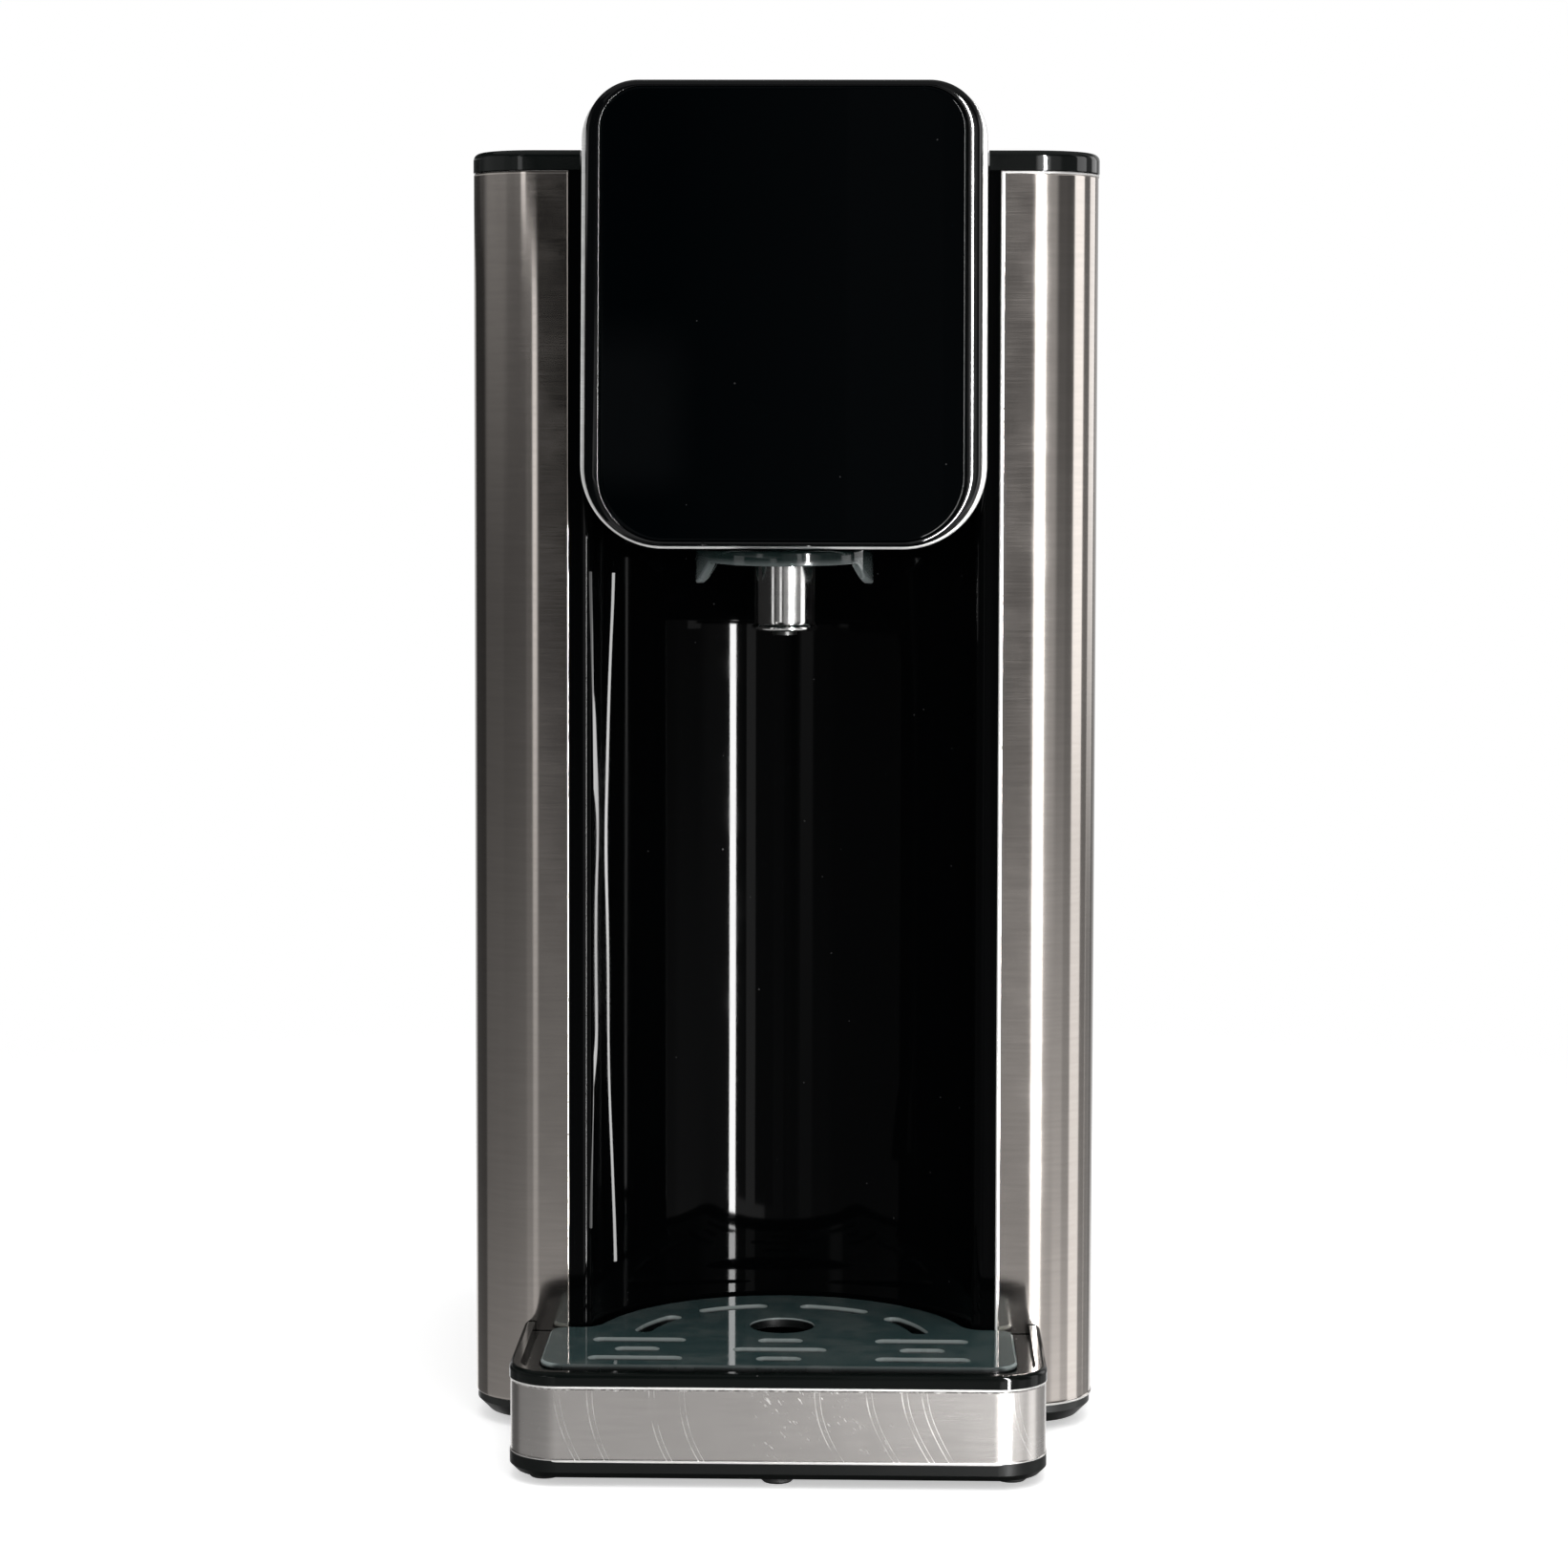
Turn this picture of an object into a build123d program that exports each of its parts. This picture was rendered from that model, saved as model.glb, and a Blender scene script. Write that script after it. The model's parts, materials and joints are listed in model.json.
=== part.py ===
from build123d import *
import math
import os

# Countertop water dispenser: two steel columns beside a concave cup bay, a control head with a spout,
# a pull-out drip tray in front and a lift-off water tank behind. Millimetres, +Z up, front is -Y.

# Overall sizes
BODY_WIDTH = 160.0
BODY_DEPTH = 112.0
TANK_DEPTH = 77.5
TRAY_REACH = 53.0
REAR_GAP = 1.5
FOOT_HEIGHT = 2.0
BASE_TOP_Z = 6.8
PANEL_TOP_Z = 320.8
COVER_TOP_Z = 326.0
HEAD_BOTTOM_Z = 226.0
HEAD_TOP_Z = 343.0

# Planes that follow from the overall sizes
TOTAL_DEPTH = TRAY_REACH + BODY_DEPTH + REAR_GAP + TANK_DEPTH
FRONT_Y = TRAY_REACH - TOTAL_DEPTH / 2
BACK_Y = FRONT_Y + BODY_DEPTH
TANK_FRONT_Y = BACK_Y + REAR_GAP
TANK_BACK_Y = TOTAL_DEPTH / 2

# Columns, cup bay and shell
COLUMN_CORNER_R = 17.0
COLUMN_INNER_X = 55.0
PANEL_T = 0.8
SHELL_INSET = 0.9
SHELL_WALL = 2.2
BAY_R = 50.0
BAY_SETBACK = 13.0
BAY_LIP_R = 4.0
BAY_Y = FRONT_Y - BAY_SETBACK
COVER_EDGE_R = 1.8
COVER_SKIRT = 5.0
BASE_INSET = 0.6
BASE_CHAMFER = 3.0
SCREW_D = 2.6
SCREW_CLEARANCE_D = 3.4

# Control head
HEAD_TILT = 4.0
HEAD_REACH = 14.0
HEAD_HALF_WIDTH = 50.9
HEAD_FACE_HALF_WIDTH = 48.6
GLASS_HALF_WIDTH = 46.7
HEAD_LOW_R = 20.5
HEAD_HIGH_R = 14.0
HEAD_RIM = 10.0
TRIM_T = 1.4
GLASS_T = 3.0
HEAD_WALL = 2.2
HEAD_SLOT = 51.4
HEAD_BACK_Y = FRONT_Y + 58.0
HEAD_MID_Z = (HEAD_BOTTOM_Z + HEAD_TOP_Z) / 2

# Spout
SPOUT_Y = FRONT_Y + 10.0
SPOUT_OD = 15.4
SPOUT_ID = 12.0
SPOUT_TIP_Z = 204.7
SHROUD_OD = 45.2
SHROUD_WALL = 2.1
SHROUD_TIP_Z = 216.8
SHROUD_BAND_Z = 222.2
SHROUD_GAP = 0.5
SPOUT_FLANGE_D = 22.0

# Drip tray and grille
TRAY_HALF_WIDTH = 65.8
TRAY_CORNER_R = 12.2
TRAY_BACK_Y = FRONT_Y - 0.6
TRAY_ARC_R = 48.3
TRAY_BAND_LOW_Z = 6.5
TRAY_BAND_HIGH_Z = 24.8
TRAY_RIM_Z = 28.0
TRAY_BEAD = 2.8
TRAY_SHELF_Z = 25.6
GRILLE_TOP_Z = 27.0
GRILLE_T = 2.4
GRILLE_HALF_WIDTH = 58.7
GRILLE_FRONT_Y = FRONT_Y - 40.3
GRILLE_BACK_Y = FRONT_Y - 1.4
GRILLE_ARC_R = 48.6
SLOT_LONG = 23.4
SLOT_SHORT = 11.2
SLOT_WIDTH = 4.6
SLOT_PITCH_X = 35.5
SLOT_ROW_1 = FRONT_Y - 14.6
SLOT_ROW_2 = FRONT_Y - 24.0
SLOT_ROW_3 = FRONT_Y - 33.2
SLOT_ARC_R = 36.0
DRAIN_D = 16.6
DRAIN_Y = FRONT_Y + 1.7
TRAY_FOOT_X = 57.0
TRAY_FOOT_D = 8.0
TRAY_FLOOR_Z = 4.6
TRAY_WELL_HALF_WIDTH = 55.0

# Water tank, lid and valve
TANK_HALF_WIDTH = 78.5
TANK_BOTTOM_Z = 32.0
TANK_TOP_Z = 318.6
TANK_WALL = 2.2
TANK_FLOOR = 3.0
TANK_BACK_R = 24.0
LID_HINGE_Y = TANK_FRONT_Y + 3.6
LID_HINGE_Z = 322.6
LID_NOSE_R = 3.2
VALVE_Y = (TANK_FRONT_Y + TANK_BACK_Y) / 2
FLOAT_X = 52.0
FLOAT_Y = 62.0
GRIP_HALF_WIDTH = 38.0
GRIP_DEPTH = 13.0
GRIP_LOW_Z = 250.0
GRIP_HIGH_Z = 282.0
GRIP_CORNER_R = 9.0
LID_EDGE_R = 1.6
LID_T = 2.4
NOTCH_HALF_WIDTH = 16.0
NOTCH_DEPTH = 1.2
LUG_X = 52.0
LUG_T = 6.0
LUG_EYE_D = 5.6
LUG_LEG = 6.0
HINGE_PIN_D = 2.5
HINGE_BORE_D = 2.62
VALVE_STEM_D = 3.4
VALVE_GUIDE_D = 3.52
SOCKET_D = 30.0

# Dock, pump, heater and hoses
DOCK_TOP_Z = 31.4
DOCK_BACK_Y = 119.5
DOCK_HALF_WIDTH = 78.0
DOCK_NIPPLE_Z = 21.0
PUMP_Z = 32.0
PUMP_OUTLET_X = 12.0
PUMP_OUTLET_Y = 10.5
HEATER_X = 30.0
HEATER_Y = 8.0
HEATER_D = 40.0
HEATER_LOW_Z = 100.0
HEATER_HIGH_Z = 215.0
CHAMBER_NIPPLE_Z = 256.0
HOSE_OD = 9.0
HOSE_ID = 6.4
NIPPLE_OD = 6.2
NIPPLE_BORE = 4.0
GLAND_X = -50.0
GLAND_Z = 18.0
GLAND_BORE = 7.0

HEAD_FACE = Plane(
    origin=(0, FRONT_Y - HEAD_REACH, HEAD_MID_Z),
    x_dir=(1, 0, 0),
    z_dir=(0, -math.cos(math.radians(HEAD_TILT)), math.sin(math.radians(HEAD_TILT))),
)


def block(x0, x1, y0, y1, z0, z1):
    """A block between two corners."""
    return Pos((x0 + x1) / 2, (y0 + y1) / 2, (z0 + z1) / 2) * Box(x1 - x0, y1 - y0, z1 - z0)


def post(x, y, z0, z1, d):
    """A round bar along Z."""
    return Pos(x, y, (z0 + z1) / 2) * Cylinder(d / 2, z1 - z0)


def bar_y(x, z, y0, y1, d):
    """A round bar along Y."""
    return Pos(x, (y0 + y1) / 2, z) * Rot(90, 0, 0) * Cylinder(d / 2, y1 - y0)


def bar_x(y, z, x0, x1, d):
    """A round bar along X."""
    return Pos((x0 + x1) / 2, y, z) * Rot(0, 90, 0) * Cylinder(d / 2, x1 - x0)


def slab(sketch, z0, z1):
    """A flat sketch raised between two heights."""
    return Pos(0, 0, z0) * extrude(sketch, z1 - z0)


def on_head(sketch, w0, w1):
    """A sketch in the plane of the head face, raised between two distances along its normal."""
    return extrude(HEAD_FACE.offset(w0) * sketch, w1 - w0, dir=HEAD_FACE.z_dir)


def rounded(half_width, y0, y1, front_r, back_r):
    """A plan rectangle with its own radius on the front and on the back corners."""
    plan = Pos(0, (y0 + y1) / 2) * Rectangle(2 * half_width, y1 - y0)
    if front_r > 0.05:
        plan = fillet(plan.vertices().sort_by(Axis.Y)[:2], front_r)
    if back_r > 0.05:
        plan = fillet(plan.vertices().sort_by(Axis.Y)[-2:], back_r)
    return plan


def body_plan(inset):
    """Plan of the front body with its concave cup bay, drawn in by an inset."""
    front = FRONT_Y + inset
    plan = rounded(BODY_WIDTH / 2 - inset, front, BACK_Y - inset, COLUMN_CORNER_R - inset, 0)
    plan = plan - Pos(0, BAY_Y) * Circle(BAY_R + inset)
    lip = BAY_LIP_R - inset
    if lip > 0.05:
        corners = [v for v in plan.vertices() if abs(v.Y - front) < 0.01 and abs(v.X) < 56]
        plan = fillet(corners, lip)
    return plan


def dock_plan(inset):
    """Plan of the base under the tank."""
    return rounded(DOCK_HALF_WIDTH + 0.6 - inset, BACK_Y - 30, 120.4 - inset, 0, 22.0 - inset)


def base_plan(inset):
    """Plan of the whole base."""
    return body_plan(inset) + dock_plan(inset)


def head_outline(half_width, low_z, high_z, low_r, high_r, depth):
    """Outline of the head at a depth behind the leaning head face."""
    tilt = math.radians(HEAD_TILT)
    middle = HEAD_MID_Z - depth * math.sin(tilt)
    low = (low_z - middle) / math.cos(tilt)
    high = (high_z - middle) / math.cos(tilt)
    return rounded(half_width, low, high, low_r, high_r)


def head_section(grow, back_y, front_y):
    """A straight prism of the head section along Y."""
    outline = rounded(
        HEAD_HALF_WIDTH - 0.3 + grow,
        HEAD_BOTTOM_Z + 0.4 - grow,
        HEAD_TOP_Z - 0.4 + grow,
        HEAD_LOW_R - 0.3 + grow,
        HEAD_HIGH_R - 0.3 + grow,
    )
    plane = Plane(origin=(0, back_y, 0), x_dir=(1, 0, 0), z_dir=(0, -1, 0))
    return extrude(plane * outline, back_y - front_y)


def pipe_path(points, bend):
    """Straight runs joined by tangent arcs of one bend radius."""
    pts = [Vector(*p) for p in points]
    edges = []
    start = pts[0]
    for before, corner, after in zip(pts[:-2], pts[1:-1], pts[2:]):
        into = (corner - before).normalized()
        out = (after - corner).normalized()
        turn = math.acos(max(-1.0, min(1.0, into.dot(out))))
        reach = bend * math.tan(turn / 2)
        first = corner - into * reach
        last = corner + out * reach
        inward = (out - into).normalized()
        middle = corner + inward * (bend / math.cos(turn / 2) - bend)
        edges.append(Line(start, first))
        edges.append(ThreePointArc(first, middle, last))
        start = last
    edges.append(Line(start, pts[-1]))
    return Wire(edges)


def pipe(points, bend, outer, inner):
    """A hose with a bore, or a solid cable when inner is zero."""
    path = pipe_path(points, bend)
    start = Plane(origin=path @ 0, z_dir=path % 0)
    tube = sweep(start * Circle(outer / 2), path=path)
    if inner > 0:
        tube = tube - sweep(start * Circle(inner / 2), path=path)
    return tube


def ring(x, y, z0, z1, outer, inner):
    """A flat ring around a vertical axis."""
    return post(x, y, z0, z1, outer) - post(x, y, z0 - 1, z1 + 1, inner)


def group(pieces):
    """Several separate solids as one node."""
    return Compound(children=[s for p in pieces for s in p.solids()])


def side_panel(side):
    """Brushed steel skin around one column, turned in at its back edge."""
    wall = column_plan(0, COLUMN_INNER_X) - column_plan(PANEL_T, COLUMN_INNER_X - 5)
    wall -= Pos(COLUMN_INNER_X + 10, BACK_Y) * Rectangle(22, 8)
    panel = slab(wall, BASE_TOP_Z, PANEL_TOP_Z)
    return panel if side > 0 else mirror(panel, Plane.YZ)


def column_plan(inset, inner_x):
    """Plan of one column from its inner edge outwards, drawn in by an inset."""
    x1 = BODY_WIDTH / 2 - inset
    y0 = FRONT_Y + inset
    y1 = BACK_Y - inset
    plan = Pos((inner_x + x1) / 2, (y0 + y1) / 2) * Rectangle(x1 - inner_x, y1 - y0)
    corner = plan.vertices().sort_by(Axis.Y)[:2].sort_by(Axis.X)[-1]
    return fillet(corner, COLUMN_CORNER_R - inset)


def front_housing():
    """Gloss shell behind the steel skins, with the concave cup bay in its front."""
    wall = body_plan(SHELL_INSET) - body_plan(SHELL_INSET + SHELL_WALL)
    shell = slab(wall, BASE_TOP_Z, PANEL_TOP_Z)
    shell -= block(-68, 68, BACK_Y - 6, BACK_Y + 1, 0, 400)
    shell -= head_section(0.4, FRONT_Y + 50, FRONT_Y - 30)
    shell -= block(-HEAD_SLOT, HEAD_SLOT, FRONT_Y - 30, FRONT_Y + 50, 300, 400)
    for x, z in screw_places():
        shell -= bar_y(x, z, BACK_Y - 6, BACK_Y + 1, SCREW_CLEARANCE_D)
    return shell


def screw_places():
    """Places of the rear wall screws."""
    return [(x, z) for x in (-72.0, 72.0) for z in (40.0, 165.0, 290.0)]


def rear_wall():
    """Back plate of the body, behind the flanges of the shell."""
    wall = block(-76.5, 76.5, BACK_Y - 5.4, BACK_Y - 3.2, BASE_TOP_Z + 1, PANEL_TOP_Z - 3)
    wall -= block(-9, 9, BACK_Y - 7, BACK_Y, 0, 42)
    wall -= block(-62, -44, BACK_Y - 7, BACK_Y, 0, 26)
    for x, z in screw_places():
        wall -= bar_y(x, z, BACK_Y - 7, BACK_Y, SCREW_D)
    return wall


def rear_screws():
    """Six screws that hold the rear wall to the shell."""
    screws = []
    for x, z in screw_places():
        screw = bar_y(x, z, BACK_Y - 0.9, BACK_Y + 0.6, 5.6)
        screw += bar_y(x, z, BACK_Y - 9, BACK_Y - 0.9, SCREW_D)
        screw -= block(x - 2.2, x + 2.2, BACK_Y, BACK_Y + 1, z - 0.4, z + 0.4)
        screw -= block(x - 0.4, x + 0.4, BACK_Y, BACK_Y + 1, z - 2.2, z + 2.2)
        screws.append(screw)
    return group(screws)


def top_cover():
    """Black cover over both columns, cut out around the head."""
    plan = rounded(BODY_WIDTH / 2, FRONT_Y, BACK_Y, COLUMN_CORNER_R, 1.0)
    cover = slab(plan, PANEL_TOP_Z + 0.2, COVER_TOP_Z)
    rim = cover.faces().sort_by(Axis.Z)[-1].edges()
    cover = fillet(rim, COVER_EDGE_R)
    skirt = rounded(76.6, FRONT_Y + 3.4, BACK_Y - 5.6, 13.4, 0) - rounded(
        74.8, FRONT_Y + 5.2, BACK_Y - 7.4, 11.6, 0
    )
    cover += slab(skirt, PANEL_TOP_Z - COVER_SKIRT, PANEL_TOP_Z + 0.2)
    slot_plan = rounded(HEAD_SLOT, FRONT_Y - 5, HEAD_BACK_Y + 0.4, 0, 4.2)
    return cover - slab(slot_plan, 300, 340)


def base_frame():
    """Black base ring, chamfered underneath, with a ledge for the bottom plate."""
    low = slab(base_plan(BASE_INSET), FOOT_HEIGHT, BASE_TOP_Z)
    edge = low.faces().sort_by(Axis.Z)[0].edges()
    frame = chamfer(edge, BASE_CHAMFER)
    frame -= slab(base_plan(8.0), FOOT_HEIGHT - 1, 4.6)
    frame -= slab(base_plan(14.0), FOOT_HEIGHT - 1, BASE_TOP_Z + 1)
    rim = body_plan(SHELL_INSET + SHELL_WALL + 0.2) - body_plan(SHELL_INSET + SHELL_WALL + 2.2)
    rim = rim - Pos(0, BACK_Y) * Rectangle(200, 20)
    frame += slab(rim, BASE_TOP_Z, 13.0)
    for x, y in base_screw_places():
        frame -= post(x, y, 0, 12, SCREW_D)
    return frame


def base_screw_places():
    """Places of the screws under the base."""
    return [(x, y) for x in (-67.0, 67.0) for y in (FRONT_Y + 40, BACK_Y + 5, 88.0)]


def bottom_plate():
    """Flat plate that closes the base from below."""
    plate = slab(base_plan(8.3), FOOT_HEIGHT, 4.5)
    for x, y in base_screw_places():
        plate -= post(x, y, 0, 12, 3.2)
        plate -= post(x, y, 0, 3.4, 6.4)
    for x, y in foot_places():
        plate -= post(x, y, 0, 12, 7.2)
    return plate


def base_screws():
    """Six screws under the base."""
    screws = []
    for x, y in base_screw_places():
        screw = post(x, y, 2.1, 3.4, 5.8) + post(x, y, 3.4, 6.6, SCREW_D)
        screw -= block(x - 2.2, x + 2.2, y - 0.4, y + 0.4, 2.0, 2.8)
        screw -= block(x - 0.4, x + 0.4, y - 2.2, y + 2.2, 2.0, 2.8)
        screws.append(screw)
    return group(screws)


def foot_places():
    """Places of the four rubber feet."""
    return [(-61, FRONT_Y + 19), (61, FRONT_Y + 19), (-58, 103), (58, 103)]


def rubber_feet():
    """Four rubber feet pushed into the bottom plate."""
    feet = []
    for x, y in foot_places():
        pad = post(x, y, 0, FOOT_HEIGHT, 14)
        pad = chamfer(pad.edges().sort_by(Axis.Z)[0], 0.6)
        feet.append(pad + post(x, y, FOOT_HEIGHT, 4.6, 7.0))
    return group(feet)


def dock_housing():
    """Base block under the tank with the socket that takes the tank valve."""
    plan = rounded(DOCK_HALF_WIDTH, BACK_Y + 0.4, DOCK_BACK_Y, 0, 21.0)
    core = rounded(DOCK_HALF_WIDTH - 2.4, BACK_Y + 2.8, DOCK_BACK_Y - 2.4, 0, 18.6)
    solid = slab(plan, BASE_TOP_Z, DOCK_TOP_Z)
    solid = fillet(solid.faces().sort_by(Axis.Z)[-1].edges().sort_by(Axis.Y)[1:], 1.2)
    solid -= slab(core, 0, DOCK_TOP_Z - 2.4)
    solid += post(0, VALVE_Y, 14.5, DOCK_TOP_Z - 1, 38)
    solid += bar_y(0, DOCK_NIPPLE_Z, 52.4, VALVE_Y - 15, NIPPLE_OD)
    solid -= post(0, VALVE_Y, 17.5, DOCK_TOP_Z + 1, SOCKET_D)
    solid -= bar_y(0, DOCK_NIPPLE_Z, 49, VALVE_Y - 10, NIPPLE_BORE)
    solid -= block(-9, 9, BACK_Y - 1, BACK_Y + 3.5, 0, 29)
    solid -= block(-62, -44, BACK_Y - 1, BACK_Y + 3.5, 0, 26)
    solid -= bar_y(GLAND_X, GLAND_Z, DOCK_BACK_Y - 5, DOCK_BACK_Y + 1, 11.2)
    solid += post(0, VALVE_Y, 17.5, 23.2, 4.4)
    return solid


def dock_seal():
    """Soft ring in the dock socket."""
    return ring(0, VALVE_Y, 24.8, 28.6, SOCKET_D, 26.6)


def cord_gland():
    """Bushing in the back of the base where a mains cord would enter."""
    gland = bar_y(GLAND_X, GLAND_Z, DOCK_BACK_Y, TANK_BACK_Y - 0.2, 15)
    gland += bar_y(GLAND_X, GLAND_Z, DOCK_BACK_Y - 9, DOCK_BACK_Y, 11)
    gland += bar_y(GLAND_X, GLAND_Z, DOCK_BACK_Y - 5.4, DOCK_BACK_Y - 2.5, 13.5)
    return gland - bar_y(GLAND_X, GLAND_Z, 90, 130, GLAND_BORE)


def head_shell():
    """Body of the head, running back between the columns over the cup bay."""
    solid = head_section(0, HEAD_BACK_Y, FRONT_Y - 40)
    back = solid.faces().sort_by(Axis.Y)[-1].edges()
    solid = fillet(back, 4.0)
    core = head_section(-HEAD_WALL, HEAD_BACK_Y - HEAD_WALL, FRONT_Y - 40)
    solid -= core
    cut = on_head(Rectangle(300, 300), -(HEAD_RIM + TRIM_T), 80)
    solid -= cut
    solid -= block(-44, 44, HEAD_BACK_Y - 6, HEAD_BACK_Y + 1, 236, 312)
    solid -= post(0, SPOUT_Y, 220, 235, SPOUT_OD + 0.4)
    return solid


def base_outline(grow):
    """Outline of the head where it meets the columns."""
    return head_outline(
        HEAD_HALF_WIDTH + grow,
        HEAD_BOTTOM_Z - grow,
        HEAD_TOP_Z + min(grow, 0),
        HEAD_LOW_R + grow,
        HEAD_HIGH_R + grow,
        HEAD_RIM,
    )


def glass_outline(grow):
    """Outline of the control glass."""
    return head_outline(
        GLASS_HALF_WIDTH + grow,
        HEAD_BOTTOM_Z + 1.6 - grow,
        HEAD_TOP_Z - 2.0 + grow,
        HEAD_LOW_R - 3.6 + grow,
        HEAD_HIGH_R - 3.0 + grow,
        0.0,
    )


def head_frame():
    """Gloss frame of the head front, tapering towards the glass."""
    front = head_outline(
        HEAD_FACE_HALF_WIDTH,
        HEAD_BOTTOM_Z + 0.9,
        HEAD_TOP_Z - 1.3,
        HEAD_LOW_R - 2.0,
        HEAD_HIGH_R - 2.0,
        0.4,
    )
    low = HEAD_FACE.offset(-HEAD_RIM) * base_outline(0)
    high = HEAD_FACE.offset(-0.4) * front
    frame = loft([low.face(), high.face()], ruled=True)
    frame -= on_head(glass_outline(0.15), -GLASS_T - 0.1, 5)
    frame -= on_head(glass_outline(-3.0), -HEAD_RIM - 5, 5)
    return frame


def head_trim():
    """Thin bright ring between the frame and the body of the head."""
    return on_head(base_outline(0.2), -(HEAD_RIM + TRIM_T), -HEAD_RIM) - on_head(
        base_outline(-4.5), -(HEAD_RIM + TRIM_T) - 1, -HEAD_RIM + 1
    )


def control_glass():
    """Black control glass with a bevelled edge."""
    glass = on_head(glass_outline(0), -GLASS_T, 0)
    face = glass.faces().sort_by(Axis.Y)[0]
    return chamfer(face.edges(), 0.5)


def display_board():
    """Touch board behind the glass, with its connector."""
    board = on_head(Rectangle(78, 92), -13.0, -HEAD_RIM - TRIM_T)
    plug = on_head(Pos(-24, 0) * Rectangle(12, 9), -19.0, -13.0)
    return board + plug


def display_module():
    """Light block of the display, in front of the touch board."""
    return on_head(Pos(0, 16) * RectangleRounded(56, 24, 2), -HEAD_RIM - TRIM_T, -4.0)


def touch_springs():
    """Four round touch pads between the board and the glass."""
    pads = []
    for x in (-30.0, -10.0, 10.0, 30.0):
        pads.append(on_head(Pos(x, -22) * Circle(4.0), -HEAD_RIM - TRIM_T, -GLASS_T - 0.1))
    return group(pads)


def spout_shroud():
    """Smoked collar around the spout, cut into an arch at the front."""
    top = HEAD_BOTTOM_Z - SHROUD_GAP
    collar = post(0, SPOUT_Y, SHROUD_TIP_Z, top, SHROUD_OD)
    collar -= post(0, SPOUT_Y, SHROUD_TIP_Z - 1, top - 1.8, SHROUD_OD - 2 * SHROUD_WALL)
    collar += post(0, SPOUT_Y, top - 0.5, HEAD_BOTTOM_Z + 0.4, 30)
    collar -= post(0, SPOUT_Y, SHROUD_TIP_Z, HEAD_BOTTOM_Z + 5, SPOUT_OD + 0.4)
    crown = ThreePointArc((-18.6, SHROUD_BAND_Z), (0, SHROUD_BAND_Z - 0.5), (18.6, SHROUD_BAND_Z))
    right = ThreePointArc(crown @ 1, (20.4, SHROUD_BAND_Z - 2.2), (21.5, SHROUD_TIP_Z))
    left = ThreePointArc(crown @ 0, (-20.4, SHROUD_BAND_Z - 2.2), (-21.5, SHROUD_TIP_Z))
    low = Polyline(right @ 1, (26.0, SHROUD_TIP_Z - 5), (-26.0, SHROUD_TIP_Z - 5), left @ 1)
    front = Plane(origin=(0, SPOUT_Y, 0), x_dir=(1, 0, 0), z_dir=(0, -1, 0))
    return collar - extrude(front * make_face(Wire([crown, right, *low.edges(), left])), 40)


def spout_tube():
    """Steel spout with a rolled lower rim."""
    tube = post(0, SPOUT_Y, SPOUT_TIP_Z, 236, SPOUT_OD)
    tube = fillet(tube.edges().sort_by(Axis.Z)[0], 0.6)
    tube += post(0, SPOUT_Y, HEAD_BOTTOM_Z + 2.6, HEAD_BOTTOM_Z + 4.6, SPOUT_FLANGE_D)
    return tube - post(0, SPOUT_Y, 190, 250, SPOUT_ID)


def spout_insert():
    """Flow straightener inside the spout, with a small outlet tip."""
    insert = post(0, SPOUT_Y, 206, 214, SPOUT_ID)
    insert += post(0, SPOUT_Y, 203.6, 206, 6.4)
    insert -= post(0, SPOUT_Y, 200, 210, 4.4)
    for turn in range(4):
        angle = math.radians(45 + 90 * turn)
        insert -= post(3.2 * math.cos(angle), SPOUT_Y + 3.2 * math.sin(angle), 209, 216, 2.6)
    return insert


def spout_seal():
    """Ring that seals the spout flange to the outlet chamber."""
    return ring(0, SPOUT_Y, HEAD_BOTTOM_Z + 4.6, HEAD_BOTTOM_Z + 6.4, SPOUT_FLANGE_D, SPOUT_OD)


def outlet_chamber():
    """Small chamber in the head where water and steam part."""
    chamber = block(-17, 17, FRONT_Y + 2, FRONT_Y + 27, 238, 268)
    chamber = fillet(chamber.edges().filter_by(Axis.Z), 4)
    chamber += post(0, SPOUT_Y, HEAD_BOTTOM_Z + 6.4, 240, SPOUT_FLANGE_D)
    chamber += bar_y(0, CHAMBER_NIPPLE_Z, FRONT_Y + 26, FRONT_Y + 39, NIPPLE_OD)
    core = block(-15, 15, FRONT_Y + 4, FRONT_Y + 25, 240, 266)
    chamber -= core
    chamber -= post(0, SPOUT_Y, 220, 242, SPOUT_OD + 0.1)
    chamber -= bar_y(0, CHAMBER_NIPPLE_Z, FRONT_Y + 20, FRONT_Y + 45, NIPPLE_BORE)
    return chamber


def heater_body():
    """Cast instant heater with a flat pad for the cut-outs and a nipple at each end."""
    body = post(HEATER_X, HEATER_Y, HEATER_LOW_Z, HEATER_HIGH_Z, HEATER_D)
    body = fillet(body.edges(), 2.0)
    body += block(HEATER_X + 12, HEATER_X + 22, HEATER_Y - 10, HEATER_Y + 10, 122, 192)
    body += post(HEATER_X, HEATER_Y, HEATER_LOW_Z - 13, HEATER_LOW_Z + 1, NIPPLE_OD)
    body += post(HEATER_X, HEATER_Y, HEATER_HIGH_Z - 1, HEATER_HIGH_Z + 13, NIPPLE_OD)
    return body - post(HEATER_X, HEATER_Y, 50, 260, NIPPLE_BORE)


def heater_terminals():
    """Two connection blades at each end of the heater."""
    blades = []
    for x in (HEATER_X - 13, HEATER_X + 13):
        blades.append(block(x - 3, x + 3, HEATER_Y - 0.4, HEATER_Y + 0.4, HEATER_HIGH_Z, HEATER_HIGH_Z + 9))
        blades.append(block(x - 3, x + 3, HEATER_Y - 0.4, HEATER_Y + 0.4, HEATER_LOW_Z - 9, HEATER_LOW_Z))
    return group(blades)


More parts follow.
